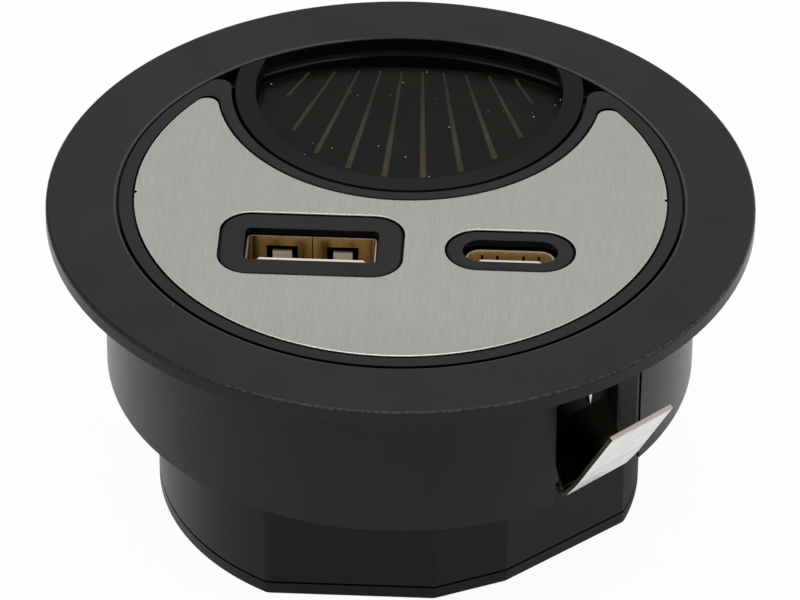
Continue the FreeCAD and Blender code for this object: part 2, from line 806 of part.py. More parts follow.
def make_base_cover():
    bottom = "-body_depth"
    top = "-(body_depth - cover_thick)"
    slab = lower_core("cover_slab", "0", "cover_thick - seam_height", bottom, "body_corner_round")
    dress(slab, "Chamfer", "cover_chamfer", flat_edge_at(0))
    neck = lower_core("cover_neck", "seam_depth", "cover_thick - rim_gap", f"{bottom} + rim_gap")
    rim_out = lower_core("rim_outside", "body_wall + rim_gap", "rim_height + seam_height",
                         f"{top} - seam_height")
    rim_in = lower_core("rim_inside", "body_wall + rim_gap + rim_wall", "2 * rim_height", top)
    notches = [cylinder(f"{side}_rim_notch", "column_radius + rim_gap", "2 * rim_height", x, y,
                        top) for side, (x, y) in COLUMNS.items()]
    solid = fuse("cover_solid", slab, neck, cut("cover_rim", rim_out, rim_in, *notches))
    holes = [cylinder(f"{side}_cover_hole", "case_screw_radius + case_screw_gap",
                      "2 * cover_thick", x, y, f"{bottom} - cover_thick / 2")
             for side, (x, y) in COLUMNS.items()]
    holes += [cylinder(f"{side}_counterbore", "case_head_radius + head_gap",
                       "2 * case_counterbore", x, y, f"{bottom} - case_counterbore")
              for side, (x, y) in COLUMNS.items()]
    holes.append(cylinder("inlet_hole", "inlet_radius + inlet_gap", "3 * cover_thick",
                          "inlet_x", "inlet_y", f"{bottom} - cover_thick"))
    return cut("base_cover", solid, *holes)


def screw(name, shank, length, head, head_height, x, y, z):
    """A screw pointing up, with a domed head below z and a cross slot in it."""
    rod = cylinder(name + "_shank", shank, length, x, y, z)
    dome = turned(name + "_head", [
        ("0", f"-({head_height})"),
        (f"{head} * 0.7", f"-({head_height})"),
        (head, f"-({head_height}) * 0.5"),
        (head, "0"),
        ("0", "0"),
    ])
    place(dome, x, y, z)
    slots = [block(f"{name}_slot_{n}", long, wide, f"{head_height}", x, y,
                   f"{z} - ({head_height}) * 1.5")
             for n, (long, wide) in enumerate(((f"{head}", f"{head} * 0.25"),
                                               (f"{head} * 0.25", f"{head}")), 1)]
    return cut(name, fuse(name + "_solid", rod, dome), *slots)


def make_case_screws():
    seat = "-body_depth + case_counterbore"
    length = "body_depth - case_counterbore - case_screw_end"
    return group("case_screws", [
        screw(f"{side}_case_screw", "case_screw_radius", length, "case_head_radius",
              "case_head_height", x, y, seat) for side, (x, y) in COLUMNS.items()])


# Board and what stands on it

def make_circuit_board():
    bottom = "-board_level - board_thick"
    blank = lower_core("board_blank", "body_wall + board_gap", "board_thick", bottom)
    holes = [cylinder(f"{side}_board_notch", "column_radius + board_gap", "3 * board_thick", x, y,
                      f"{bottom} - board_thick") for side, (x, y) in COLUMNS.items()]
    holes.append(block("board_rear_space", f"3 * {BODY}", BODY, "3 * board_thick", "0",
                       f"{COLUMNS['left'][1]} + {BODY} / 2", f"{bottom} - board_thick"))
    holes += [cylinder(f"{side}_board_hole", "board_screw_radius + thread_gap", "3 * board_thick",
                       x, y, f"{bottom} - board_thick") for side, (x, y) in POSTS.items()]
    return cut("circuit_board", blank, *holes)


def make_board_screws():
    seat = "-board_level - board_thick"
    return group("board_screws", [
        screw(f"{side}_board_screw", "board_screw_radius", "board_screw_length",
              "board_head_radius", "board_head_height", x, y, seat)
        for side, (x, y) in POSTS.items()])


BOARD_UNDERSIDE = "(-board_level - board_thick)"


def make_power_inductor():
    """Drum core: two flanges with the wound middle between them."""
    body = turned("power_inductor", [
        ("0", "0"),
        ("inductor_radius", "0"),
        ("inductor_radius", "inductor_flange_thick"),
        ("inductor_core_radius", "inductor_flange_thick"),
        ("inductor_core_radius", "inductor_height - inductor_flange_thick"),
        ("inductor_radius", "inductor_height - inductor_flange_thick"),
        ("inductor_radius", "inductor_height"),
        ("0", "inductor_height"),
    ])
    return place(body, "inductor_x", "inductor_y", f"{BOARD_UNDERSIDE} - inductor_height")


def make_inductor_winding():
    """Copper winding that fills the drum to just inside its flanges."""
    outer = cylinder("winding_outside", "inductor_radius - winding_inset",
                     "inductor_height - 2 * inductor_flange_thick", "inductor_x", "inductor_y",
                     f"{BOARD_UNDERSIDE} - inductor_height + inductor_flange_thick")
    inner = cylinder("winding_inside", "inductor_core_radius", "2 * inductor_height",
                     "inductor_x", "inductor_y", f"{BOARD_UNDERSIDE} - 1.5 * inductor_height")
    return cut("inductor_winding", outer, inner)


def make_filter_capacitors():
    """Two cans with the rolled groove near the board."""
    reach = f"({BODY} - body_wall - capacitor_wall_gap - capacitor_radius)"
    turn = f"2 * asin((capacitor_radius + capacitor_gap / 2) / {reach}) / 1 deg"
    cans = []
    for number, angle in enumerate(("capacitor_angle", f"(capacitor_angle + {turn})"), 1):
        can = turned(f"capacitor_{number}", [
            ("0", "0"),
            ("capacitor_radius - capacitor_edge", "0"),
            ("capacitor_radius", "capacitor_edge"),
            ("capacitor_radius", "groove_level - capacitor_groove"),
            ("capacitor_radius - capacitor_groove", "groove_level"),
            ("capacitor_radius", "groove_level + capacitor_groove"),
            ("capacitor_radius", "capacitor_height"),
            ("0", "capacitor_height"),
        ])
        cans.append(place(can, f"{reach} * cos({angle})", f"{reach} * sin({angle})",
                          f"{BOARD_UNDERSIDE} - capacitor_height"))
    return group("filter_capacitors", cans)


def make_controller_chip():
    return block("controller_chip", "chip_length", "chip_length", "chip_height",
                 "chip_x", "chip_y", f"{BOARD_UNDERSIDE} - chip_height")


def make_power_inlet():
    """Round socket in the base cover, closed at its upper end."""
    body = turned("power_inlet", [
        ("0", "inlet_bore_depth"),
        ("inlet_bore_radius", "inlet_bore_depth"),
        ("inlet_bore_radius", "0"),
        ("inlet_radius", "0"),
        ("inlet_radius", "inlet_height"),
        ("0", "inlet_height"),
    ])
    return place(body, "inlet_x", "inlet_y", "-body_depth + cover_chamfer")


def make_inlet_pin():
    tip = "pin_recess + pin_radius * 0.6"
    body = turned("inlet_pin", [
        ("0", "pin_recess"),
        ("pin_radius * 0.5", "pin_recess"),
        ("pin_radius", tip),
        ("pin_radius", "inlet_bore_depth"),
        ("0", "inlet_bore_depth"),
    ])
    return place(body, "inlet_x", "inlet_y", "-body_depth + cover_chamfer")


def make_supply_leads():
    """Two stiff leads from the inlet up to the board."""
    bottom = "-body_depth + cover_chamfer + inlet_height"
    return group("supply_leads", [
        cylinder(f"lead_{n}", "lead_radius", f"{BOARD_UNDERSIDE} - ({bottom})",
                 f"inlet_x + ({n} - 1.5) * lead_spacing", "inlet_y", bottom) for n in (1, 2)])


# Cable outlet

def within_ring(name, piece, radius):
    """What of a piece lies inside a circle about the axis."""
    height = "4 * skirt_depth"
    limit = cylinder(name + "_limit", radius, height, z=f"-({height}) / 2")
    return common(name, piece, limit)


def outlet_ring(name, outer, inner, height, z):
    """A flat ring about the outlet's centre."""
    outside = cylinder(name + "_outside", outer, height, y="outlet_centre", z=z)
    inside = cylinder(name + "_inside", inner, f"2 * ({height})", y="outlet_centre",
                      z=f"{z} - ({height}) / 2")
    return cut(name, outside, inside)


def make_cable_frame():
    depth = "(sheet_level + sheet_thick + lip_thick)"
    band = cut("band", band_blank(), cylinder("band_bore", BAND_BORE, "3 * flange_thick",
                                              y="outlet_centre", z="-flange_thick"))
    collar = within_ring("collar", outlet_ring("collar_ring", COLLAR, BAND_BORE,
                                               f"{depth} + flange_thick / 2", f"-{depth}"),
                         LIFT_RADIUS)
    lip = within_ring("lip", outlet_ring("lip_ring", COLLAR, f"{BAND_BORE} - lip_width",
                                         "lip_thick", f"-{depth}"), LIFT_RADIUS)
    return fuse("cable_frame", band, collar, lip)


def band_blank():
    """What the band's disc and the face's disc share, its two sharp corners rounded."""
    y = f"(({INSERT} ^ 2 - {BAND} ^ 2 + outlet_centre ^ 2) / (2 * outlet_centre))"
    x = f"sqrt({INSERT} ^ 2 - {y} ^ 2)"
    body = new_body("band_blank")
    sketch = new_sketch(body, "band_outline")
    draw_outline(sketch, [(f"-{x}", y), (x, y)],
                 {0: ("0", "outlet_centre", BAND, True), 1: ("0", "0", INSERT, True)})
    pad(body, sketch, "flange_thick")
    dress(body, "Fillet", "band_end_round", upright)
    return body


def make_finger_membrane():
    level = "-(sheet_level + sheet_thick)"
    radius = f"{BAND_BORE} - sheet_gap"
    disc = cylinder("sheet_disc", radius, "sheet_thick", y="outlet_centre", z=level)
    rear = cylinder("sheet_rear_limit", "sheet_rear_radius", "4 * sheet_thick",
                    y="sheet_rear - sheet_rear_radius", z=f"2 * {level}")
    blank = common("sheet_blank", within_ring("sheet_in_ring", disc, LIFT_RADIUS), rear)
    field = cylinder("slot_field", "slot_field_radius", "4 * sheet_thick", y="outlet_centre",
                     z=f"2 * {level}")
    slots = common("slots", slot_fan(), field)
    return cut("finger_membrane", blank, slots)


def slot_fan():
    """Tapered slots that spread forwards from one point behind the outlet."""
    body = new_body("slot_fan")
    sketch = new_sketch(body, "slot_outline")
    near = "slot_fan_y - sheet_rear - sheet_thick"
    far = "slot_fan_y - outlet_centre + slot_field_radius + sheet_thick"
    draw_outline(sketch, [
        ("-slot_front_width / 2", f"-({far})"),
        ("slot_front_width / 2", f"-({far})"),
        ("slot_rear_width / 2", f"-({near})"),
        ("-slot_rear_width / 2", f"-({near})"),
    ])
    slot = pad(body, sketch, "4 * sheet_thick")
    fan = body.newObject("PartDesign::PolarPattern", "slot_pattern")
    fan.Originals = [slot]
    fan.Axis = (sketch, ["N_Axis"])
    bind(fan, Angle="(slot_count - 1) * slot_pitch", Occurrences="slot_count")
    body.Tip = fan
    return place(body, y="slot_fan_y", z="-2 * (sheet_level + sheet_thick)",
                 turn="-(slot_count - 1) * slot_pitch / 2")


# Spring clips

def step(point, angle, length):
    """The point that lies length further on, leaning outwards by angle from upright."""
    x, z = point
    return f"{x} + ({length}) * sin({angle})", f"{z} + ({length}) * cos({angle})"


def make_clip_leg(side, angle):
    """Inner leg: flat on the pocket's floor, then sloping out to the bead at its foot."""
    floor = POCKET_FLOOR
    slope = "hinge_offset / (hinge_level - leg_knee)"
    foot = "-hinge_level"
    sheet_half = "clip_sheet / 2"
    leg = side_profile(f"{side}_leg_sheet", "clip_width", [
        (floor, "-leg_top"),
        (floor, f"-leg_knee - {slope} * {sheet_half}"),
        (f"{HINGE} - {sheet_half}", foot),
        (f"{HINGE} + {sheet_half}", foot),
        (f"{floor} + clip_sheet", "-leg_knee"),
        (f"{floor} + clip_sheet", "-leg_top"),
    ])
    bead = new_body(f"{side}_bead")
    end = new_sketch(bead, f"{side}_bead_circle", "XZ")
    draw_circle(end, "bead_radius", HINGE, foot)
    pad(bead, end, "clip_width", midplane=True)
    barb = clip_barb(side)
    return place(fuse(f"{side}_clip_leg", leg, bead, barb), turn=angle)


def clip_barb(side):
    """Small pointed tab lanced out of the leg, wide at its top."""
    body = new_body(f"{side}_barb")
    sketch = new_sketch(body, f"{side}_barb_profile", "YZ", f"{POCKET_FLOOR} + clip_sheet / 2")
    draw_outline(sketch, [
        ("barb_offset - barb_width / 2", "-barb_level"),
        ("barb_offset", "-barb_level - barb_height"),
        ("barb_offset + barb_width / 2", "-barb_level"),
    ])
    pad(body, sketch, "barb_lift")
    return body


def make_clip_leaf(side, angle):
    """Outer leaf: a curl round the bead, then the sheet with a slight crease."""
    inner = "(bead_radius + curl_gap)"
    outer = f"({inner} + clip_sheet)"
    hinge = (HINGE, "-hinge_level")
    flat_out = "(crease_angle + 90)"
    root_in = step(hinge, flat_out, inner)
    root_out = step(hinge, flat_out, outer)
    crease_in = step(root_in, "crease_angle", "crease_length")
    crease_out = step(root_out, "crease_angle", "crease_length")
    tip_out = step(crease_out, "leaf_angle", "leaf_length")
    tip_in = step(tip_out, "(leaf_angle - 90)", "clip_sheet")
    body = side_profile(f"{side}_clip_leaf", "clip_width", [
        (f"{hinge[0]} - {outer}", hinge[1]),
        root_out,
        crease_out,
        tip_out,
        tip_in,
        crease_in,
        root_in,
        (f"{hinge[0]} - {inner}", hinge[1]),
    ], {0: (*hinge, outer, True), 6: (*hinge, inner, False)})
    return place(body, turn=angle)


# All pieces, by the name of their file

PIECES = {
    "flange_ring": make_flange_ring(),
    "face_insert": make_face_insert(),
    "face_plate": make_face_plate(),
    "usb_a_shell": make_usb_a_shell(),
    "usb_a_tongue": make_usb_a_tongue(),
    "usb_a_contacts": make_usb_a_contacts(),
    "usb_c_shell": make_usb_c_shell(),
    "usb_c_tongue": make_usb_c_tongue(),
    "usb_c_contacts": make_usb_c_contacts(),
    "cable_frame": make_cable_frame(),
    "finger_membrane": make_finger_membrane(),
    "lower_housing": make_lower_housing(),
    "base_cover": make_base_cover(),
    "case_screws": make_case_screws(),
    "circuit_board": make_circuit_board(),
    "board_screws": make_board_screws(),
    "power_inductor": make_power_inductor(),
    "inductor_winding": make_inductor_winding(),
    "filter_capacitors": make_filter_capacitors(),
    "controller_chip": make_controller_chip(),
    "power_inlet": make_power_inlet(),
    "inlet_pin": make_inlet_pin(),
    "supply_leads": make_supply_leads(),
}
for clip_side, clip_angle in CLIPS.items():
    PIECES[f"{clip_side}_clip_leg"] = make_clip_leg(clip_side, clip_angle)
    PIECES[f"{clip_side}_clip_leaf"] = make_clip_leaf(clip_side, clip_angle)

doc.recompute()

failed = [thing.Name for thing in doc.Objects
          if "Invalid" in thing.State or "Error" in thing.State]
if failed:
    raise SystemExit("failed to build: " + ", ".join(failed))

os.makedirs("parts", exist_ok=True)
for node, piece in PIECES.items():
    piece.Label = node
    shape = piece.Shape
    if shape.isNull() or not shape.isValid() or shape.Volume <= 0:
        raise SystemExit(f"{node} has no valid shape")
    shape.exportStep(f"parts/{node}.step")
    box = shape.BoundBox
    print(f"{node}: {len(shape.Solids)} solids, {shape.Volume:.1f} mm3, "
          f"X {box.XMin:.2f} {box.XMax:.2f}, Y {box.YMin:.2f} {box.YMax:.2f}, "
          f"Z {box.ZMin:.2f} {box.ZMax:.2f}")
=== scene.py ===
# %% [markdown]
# # A USB charger that drops into a round desk hole
# A black ring lies on the desk. It carries a crescent of brushed aluminium with two sockets, and
# behind it a half-moon cable outlet that a slitted rubber sheet covers. Two spring clips on the
# skirt hold it in the hole. The solids come from CAD, so most of the work here is finish, light
# and the few pieces that a solid modeller can't make soft or fine enough.

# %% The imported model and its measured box
import math

import bmesh
import bpy
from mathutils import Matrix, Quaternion, Vector


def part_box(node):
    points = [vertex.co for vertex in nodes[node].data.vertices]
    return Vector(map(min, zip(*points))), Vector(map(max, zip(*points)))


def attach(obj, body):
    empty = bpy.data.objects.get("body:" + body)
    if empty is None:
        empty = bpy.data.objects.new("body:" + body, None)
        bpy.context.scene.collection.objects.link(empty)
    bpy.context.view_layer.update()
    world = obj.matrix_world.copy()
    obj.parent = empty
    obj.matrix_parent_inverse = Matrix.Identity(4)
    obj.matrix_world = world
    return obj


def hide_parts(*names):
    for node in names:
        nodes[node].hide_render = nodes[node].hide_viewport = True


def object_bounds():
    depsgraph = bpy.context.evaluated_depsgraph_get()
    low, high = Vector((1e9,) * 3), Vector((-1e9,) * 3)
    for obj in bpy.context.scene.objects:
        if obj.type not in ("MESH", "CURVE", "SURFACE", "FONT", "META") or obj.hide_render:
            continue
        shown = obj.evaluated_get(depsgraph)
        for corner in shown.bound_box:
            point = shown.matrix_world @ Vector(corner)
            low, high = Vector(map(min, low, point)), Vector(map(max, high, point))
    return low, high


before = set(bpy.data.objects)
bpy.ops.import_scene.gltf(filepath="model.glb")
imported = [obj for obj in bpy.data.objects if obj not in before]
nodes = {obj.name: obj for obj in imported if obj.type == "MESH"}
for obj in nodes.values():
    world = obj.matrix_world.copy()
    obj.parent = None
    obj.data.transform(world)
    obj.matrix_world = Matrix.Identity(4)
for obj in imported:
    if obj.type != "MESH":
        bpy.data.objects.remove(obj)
cad_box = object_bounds()
MM = 0.001
print("solids:", len(nodes), "box in mm:", [[round(v / MM, 1) for v in corner] for corner in cad_box])

# %% [markdown]
# ## Helpers for node trees
# Every finish below is a tree of nodes, and so is every repeated shape. One short helper adds a
# node and fills or links its sockets, which keeps each recipe to one line a node. A group is
# made once with named inputs, and each material then places it with its own values.

# %% Adding nodes and groups
def add(tree, kind, inputs=None, **settings):
    """A node of that kind. A value is typed into its socket, and another socket is linked."""
    node = tree.nodes.new(kind)
    for name, value in settings.items():
        setattr(node, name, value)
    for socket, value in (inputs or {}).items():
        if isinstance(value, bpy.types.NodeSocket):
            tree.links.new(value, node.inputs[socket])
        else:
            node.inputs[socket].default_value = value
    return node


def feed(tree, sockets, **values):
    """Link values to named sockets, with _ for each space in a name."""
    for name, value in values.items():
        tree.links.new(value, sockets[name.replace("_", " ")])


def new_group(name, inputs, outputs, kind="ShaderNodeTree"):
    """An empty group with named sockets, its input's sockets and its output's sockets."""
    group = bpy.data.node_groups.new(name, kind)
    for label, (socket, value) in inputs.items():
        made = group.interface.new_socket(name=label, in_out="INPUT", socket_type=socket)
        if value is not None:
            made.default_value = value
    for label, socket in outputs.items():
        group.interface.new_socket(name=label, in_out="OUTPUT", socket_type=socket)
    start = group.nodes.new("NodeGroupInput").outputs
    end = group.nodes.new("NodeGroupOutput").inputs
    print("group:", name, "with inputs", ", ".join(inputs))
    return group, start, end


def place_group(tree, group, inputs):
    """The outputs of a shader group placed in a material."""
    return add(tree, "ShaderNodeGroup", inputs, node_tree=group).outputs


NUMBER, VECTOR = "NodeSocketFloat", "NodeSocketVector"

# %% [markdown]
# A mask says where an effect lies, and a tone says how strong it is. Both are short sums, and
# the sums that come back in most recipes get a name here, so that a recipe reads as what it
# does. Noise seldom leaves the middle of its range, so its usual stretch has a helper too.

# %% Sums, masks and noise
def calc(tree, operation, first, second=0.0):
    """The result of one Math node."""
    return add(tree, "ShaderNodeMath", {0: first, 1: second}, operation=operation).outputs[0]


def times(tree, first, *others):
    """The product of all the values."""
    for other in others:
        first = calc(tree, "MULTIPLY", first, other)
    return first


def plus(tree, first, *others):
    """The sum of all the values."""
    for other in others:
        first = calc(tree, "ADD", first, other)
    return first


def minus(tree, first, second):
    """The first value less the second."""
    return calc(tree, "SUBTRACT", first, second)


def unsigned(tree, value):
    """The value without its sign."""
    return calc(tree, "ABSOLUTE", value)


def over(tree, value, limit):
    """1 where a value is over a limit, otherwise 0."""
    return calc(tree, "GREATER_THAN", value, limit)


def under(tree, value, limit):
    """1 where a value is under a limit, otherwise 0."""
    return calc(tree, "LESS_THAN", value, limit)


def within(tree, value, middle, half):
    """1 where a value lies within half of middle, otherwise 0."""
    return under(tree, unsigned(tree, minus(tree, value, middle)), half)


def hypotenuse(tree, first, second):
    """The long side of a triangle whose other two sides are at right angles."""
    return calc(tree, "SQRT", plus(tree, times(tree, first, first), times(tree, second, second)))


def spread(tree, value, low, high, to_low, to_high):
    """The value's range from low to high, stretched to a new range and held inside it."""
    ends = {"From Min": low, "From Max": high, "To Min": to_low, "To Max": to_high}
    return add(tree, "ShaderNodeMapRange", {"Value": value, **ends}).outputs[0]


def noise(tree, vector, scale, detail=2.0, roughness=0.5, dimensions="3D"):
    """A cloudy value that is mostly near one half."""
    inputs = {"Vector": vector, "Scale": scale, "Detail": detail, "Roughness": roughness}
    return add(tree, "ShaderNodeTexNoise", inputs, noise_dimensions=dimensions).outputs[0]


def swing(tree, cloud, to_low, to_high):
    """A noise's usual range, stretched to a new range."""
    return spread(tree, cloud, 0.3, 0.7, to_low, to_high)


# %% [markdown]
# Places and directions are vectors. Wear, dirt and polish are found by one coordinate, by the
# way a face looks, or by the distance from the charger's upright axis.

# %% Coordinates and directions
def axis(tree, vector, letter):
    """One coordinate of a vector."""
    return add(tree, "ShaderNodeSeparateXYZ", {0: vector}).outputs[letter]


def dot(tree, first, second):
    """How far the first vector reaches along the second."""
    node = add(tree, "ShaderNodeVectorMath", {0: first, 1: second}, operation="DOT_PRODUCT")
    return node.outputs["Value"]


def off_axis(tree, vector):
    """A point's distance from the upright axis."""
    return hypotenuse(tree, axis(tree, vector, "X"), axis(tree, vector, "Y"))


def facing(tree):
    """The direction in which the surface looks."""
    return add(tree, "ShaderNodeNewGeometry").outputs["Normal"]


def upness(tree):
    """1 where the surface is level, 0 where it is upright."""
    return unsigned(tree, axis(tree, facing(tree), "Z"))


# %% [markdown]
# Colours are written as three numbers. A socket for colours asks for a fourth, which the helper
# for blends adds.

# %% Colours
def blend_colours(tree, share, first, second):
    """A colour that goes from first to second as share goes from 0 to 1."""
    first, second = ((*end, 1.0) if isinstance(end, tuple) else end for end in (first, second))
    mix = add(tree, "ShaderNodeMix", {"Factor": share, "A": first, "B": second}, data_type="RGBA")
    return mix.outputs[2]


def shade(tree, colour, tone):
    """A colour made lighter or darker by a tone about 1."""
    scaled = add(tree, "ShaderNodeVectorMath", {0: colour, "Scale": tone}, operation="SCALE")
    return scaled.outputs[0]


def shade_where(tree, mask, colour, tone):
    """A colour multiplied by a tone where the mask is 1."""
    return shade(tree, colour, spread(tree, mask, 0.0, 1.0, 1.0, tone))


# %% [markdown]
# ## Shared effect: the grain of moulded plastic
# Moulded plastic copies its mould, which is finely eroded, so the gloss breaks up at a tenth of a
# millimetre, and the tone drifts slowly where the plastic flowed. Two noises make both. A painted
# image would need unwrapping and would blur close up, so the noise is worked out in space.

# %% Moulded grain
FLOW_SCALE = 160.0
grain, given, out = new_group(
    "Moulded grain",
    {"Vector": (VECTOR, None), "Fineness": (NUMBER, 9000.0), "Drift": (NUMBER, 0.08)},
    {"Tone": NUMBER, "Relief": NUMBER})
fine = noise(grain, given["Vector"], given["Fineness"], 3.0, 0.6)
flow = noise(grain, given["Vector"], FLOW_SCALE)
drifts = [times(grain, swing(grain, cloud, -1.0, 1.0), given["Drift"]) for cloud in (flow, fine)]
feed(grain, out, Tone=plus(grain, *drifts, 1.0), Relief=fine)

# %% [markdown]
# ## Shared effect: specks of dust
# The photograph is sharp enough to show single specks on the black parts, most of them on the
# rubber. A cell noise gives each cell one random point, and a speck is the small ball round it.
# Most cells are left empty, because real dust lies unevenly.

# %% Dust specks
dust, given, out = new_group(
    "Dust specks",
    {"Vector": (VECTOR, None), "Cells": (NUMBER, 500.0), "Share": (NUMBER, 0.3),
     "Size": (NUMBER, 0.08)},
    {"Mask": NUMBER})
cells = add(dust, "ShaderNodeTexVoronoi", {"Vector": given["Vector"], "Scale": given["Cells"]})
chance = add(dust, "ShaderNodeSeparateColor", {"Color": cells.outputs["Color"]}).outputs
chosen = under(dust, chance["Red"], given["Share"])
reach = times(dust, given["Size"], spread(dust, chance["Green"], 0, 1, 0.4, 1.6))
near = calc(dust, "DIVIDE", cells.outputs["Distance"], reach)
feed(dust, out, Mask=times(dust, spread(dust, near, 0.6, 1.0, 1.0, 0.0), chosen))

# %% [markdown]
# ## Shared effect: a pale line along a turned edge
# On the ring's rim the line is partly wear, since hands and desks polish that edge first, and
# partly painted highlight; on the inner edges it is painted highlight only. The edges here are
# circles, so the line is placed by its distance from such a circle, and a noise breaks it up. A
# bevel node could find every edge by itself, but it is slow and blurs where edges meet.

# %% Wear and painted highlight along a circle
wear_and_highlight, given, out = new_group(
    "Wear and highlight circle",
    {"Vector": (VECTOR, None), "Radius": (NUMBER, 35.0 * MM), "Level": (NUMBER, 1.6 * MM),
     "Broken": (NUMBER, 1.0), "Flanks": (NUMBER, 0.0), "Reach": (NUMBER, 0.3 * MM)},
    {"Mask": NUMBER})
outside = minus(wear_and_highlight, off_axis(wear_and_highlight, given["Vector"]), given["Radius"])
higher = minus(wear_and_highlight, axis(wear_and_highlight, given["Vector"], "Z"), given["Level"])
share = calc(wear_and_highlight, "DIVIDE", hypotenuse(wear_and_highlight, outside, higher), given["Reach"])
patches = noise(wear_and_highlight, given["Vector"], 2600.0, 3.0)
missing = times(wear_and_highlight, spread(wear_and_highlight, patches, 0.38, 0.62, 1.0, 0.0), given["Broken"])
across = unsigned(wear_and_highlight, axis(wear_and_highlight, given["Vector"], "X"))
middle = times(wear_and_highlight, given["Flanks"], spread(wear_and_highlight, across, 4.0 * MM, 8.0 * MM, 1.0, 0.0))
left = times(wear_and_highlight, minus(wear_and_highlight, 1.0, missing), minus(wear_and_highlight, 1.0, middle))
feed(wear_and_highlight, out, Mask=times(wear_and_highlight, spread(wear_and_highlight, share, 0.0, 1.0, 1.0, 0.0), left))

# %% [markdown]
# ## Shared effect: distance to a rounded outline
# Painted shade darkens the narrow gaps round the plate and its frames, which are rounded oblongs,
# and one of them is a circle. The distance to such an outline is a short sum of a point's own
# coordinates, so the line keeps its width all round, also at the corners.

# %% Distance to a rounded outline
rounded, given, out = new_group(
    "Rounded outline",
    {"Vector": (VECTOR, None), "Middle": (VECTOR, None), "Half Length": (NUMBER, 9.0 * MM),
     "Half Width": (NUMBER, 5.0 * MM), "Corner": (NUMBER, 3.0 * MM), "Line": (NUMBER, 0.15 * MM)},
    {"Distance": NUMBER, "Mask": NUMBER})
moved = add(rounded, "ShaderNodeVectorMath", {0: given["Vector"], 1: given["Middle"]},
            operation="SUBTRACT").outputs[0]
past = []
for letter, half in (("X", "Half Length"), ("Y", "Half Width")):
    core = minus(rounded, given[half], given["Corner"])
    past.append(minus(rounded, unsigned(rounded, axis(rounded, moved, letter)), core))
round_corner = hypotenuse(rounded, *(calc(rounded, "MAXIMUM", side, 0.0) for side in past))
deep = calc(rounded, "MINIMUM", calc(rounded, "MAXIMUM", *past), 0.0)
away = minus(rounded, plus(rounded, round_corner, deep), given["Corner"])
share = calc(rounded, "DIVIDE", unsigned(rounded, away), given["Line"])
feed(rounded, out, Distance=away, Mask=spread(rounded, share, 0.6, 1.0, 1.0, 0.0))

# %% [markdown]
# ## Shared effect: brushed metal
# A belt leaves long scratches in one direction, here from front to back. A noise that is squeezed
# across the grain and stretched along it gives them. The same value moves the tone, the gloss
# and the height a little, as a real scratch does.

# %% Brushed grain
CLOUD_SCALE, DEPTH_SHARE = 700.0, 0.1
brushed, given, out = new_group(
    "Brushed grain",
    {"Vector": (VECTOR, None), "Turn": (NUMBER, 0.0), "Fineness": (NUMBER, 5000.0),
     "Stretch": (NUMBER, 0.02)},
    {"Scratch": NUMBER, "Cloud": NUMBER})
turned = add(brushed, "ShaderNodeVectorRotate",
             {"Vector": given["Vector"], "Angle": given["Turn"]}, rotation_type="Z_AXIS").outputs[0]
drawn = add(brushed, "ShaderNodeCombineXYZ",
            {"X": axis(brushed, turned, "X"),
             "Y": times(brushed, axis(brushed, turned, "Y"), given["Stretch"]),
             "Z": times(brushed, axis(brushed, turned, "Z"), DEPTH_SHARE)}).outputs[0]
feed(brushed, out, Scratch=noise(brushed, drawn, given["Fineness"], 4.0, 0.65),
     Cloud=noise(brushed, drawn, CLOUD_SCALE))

# %% [markdown]
# ## Materials
# Each material is one Principled shader. What is even all over goes straight onto its sockets,
# and what changes over the surface comes from the groups. Object coordinates are metres from the
# middle of the desk hole, so a scale of 1000 repeats once a millimetre. A finish can be opened
# again later, to add what only one of its pieces has.

# %% Starting a finish
def reopen(finish):
    """A material's tree, its shader's sockets and its coordinates."""
    tree = finish.node_tree
    where = add(tree, "ShaderNodeTexCoord").outputs["Object"]
    print("finish:", finish.name, "with", len(tree.nodes), "nodes so far")
    return tree, tree.nodes["Principled BSDF"].inputs, where


def new_finish(name, **even):
    """A material, its tree, its shader's sockets with plain values set, and its coordinates."""
    made = bpy.data.materials.new(name)
    made.use_nodes = True
    tree, sockets, where = reopen(made)
    for socket, value in even.items():
        sockets[socket.replace("_", " ")].default_value = value
    return made, tree, sockets, where


def so_far(sockets, name):
    """What feeds a socket up to now."""
    return sockets[name].links[0].from_socket


def relief(tree, sockets, height, depth, strength):
    """Raise the surface by height times a depth in mm."""
    bump = add(tree, "ShaderNodeBump", {"Height": height, "Distance": depth * MM, "Strength": strength})
    feed(tree, sockets, Normal=bump.outputs[0])


# %% [markdown]
# ### Black plastic
# The ring, the face and the lower body are three mouldings of black plastic. They differ in tone
# and gloss: the ring is finely eroded and looks dark grey, the face is smoother, and the body
# below is blacker. One function makes all three, with dust, with painted shade in hollows and on
# faces that aren't level, and with pale edge lines that are painted highlight and partly wear.

# %% One function for every black plastic
SPECK_GREY = (0.26, 0.26, 0.25)
HOLLOW_SHADE_FADE, HOLLOW_SHADE_GLOSS = 0.08, 0.12


def paint_hollow_shade(tree, where, tint, gloss, lowest, highest, radius, tone):
    """The tint and gloss of plastic with painted shade: darker between two levels and inside a radius."""
    level = axis(tree, where, "Z")
    below = spread(tree, level, (highest - HOLLOW_SHADE_FADE) * MM, highest * MM, 1.0, 0.0)
    inner = times(tree, below, over(tree, level, lowest * MM),
                  under(tree, off_axis(tree, where), radius * MM))
    gloss = minus(tree, gloss, times(tree, inner, HOLLOW_SHADE_GLOSS))
    return shade_where(tree, inner, tint, tone), gloss


def pale_edge_line(tree, where, tint, colour, radius, level, reach, broken=0.25, flanks=0.0):
    """The tint with a pale line along a circle, which is painted highlight and on the rim partly wear,
    fainter in the middle where flanks is over 0.
    """
    edge_line = place_group(tree, wear_and_highlight, {"Vector": where, "Radius": radius * MM, "Level": level * MM,
                                   "Reach": reach * MM, "Broken": broken, "Flanks": flanks})
    return blend_colours(tree, edge_line["Mask"], tint, colour)


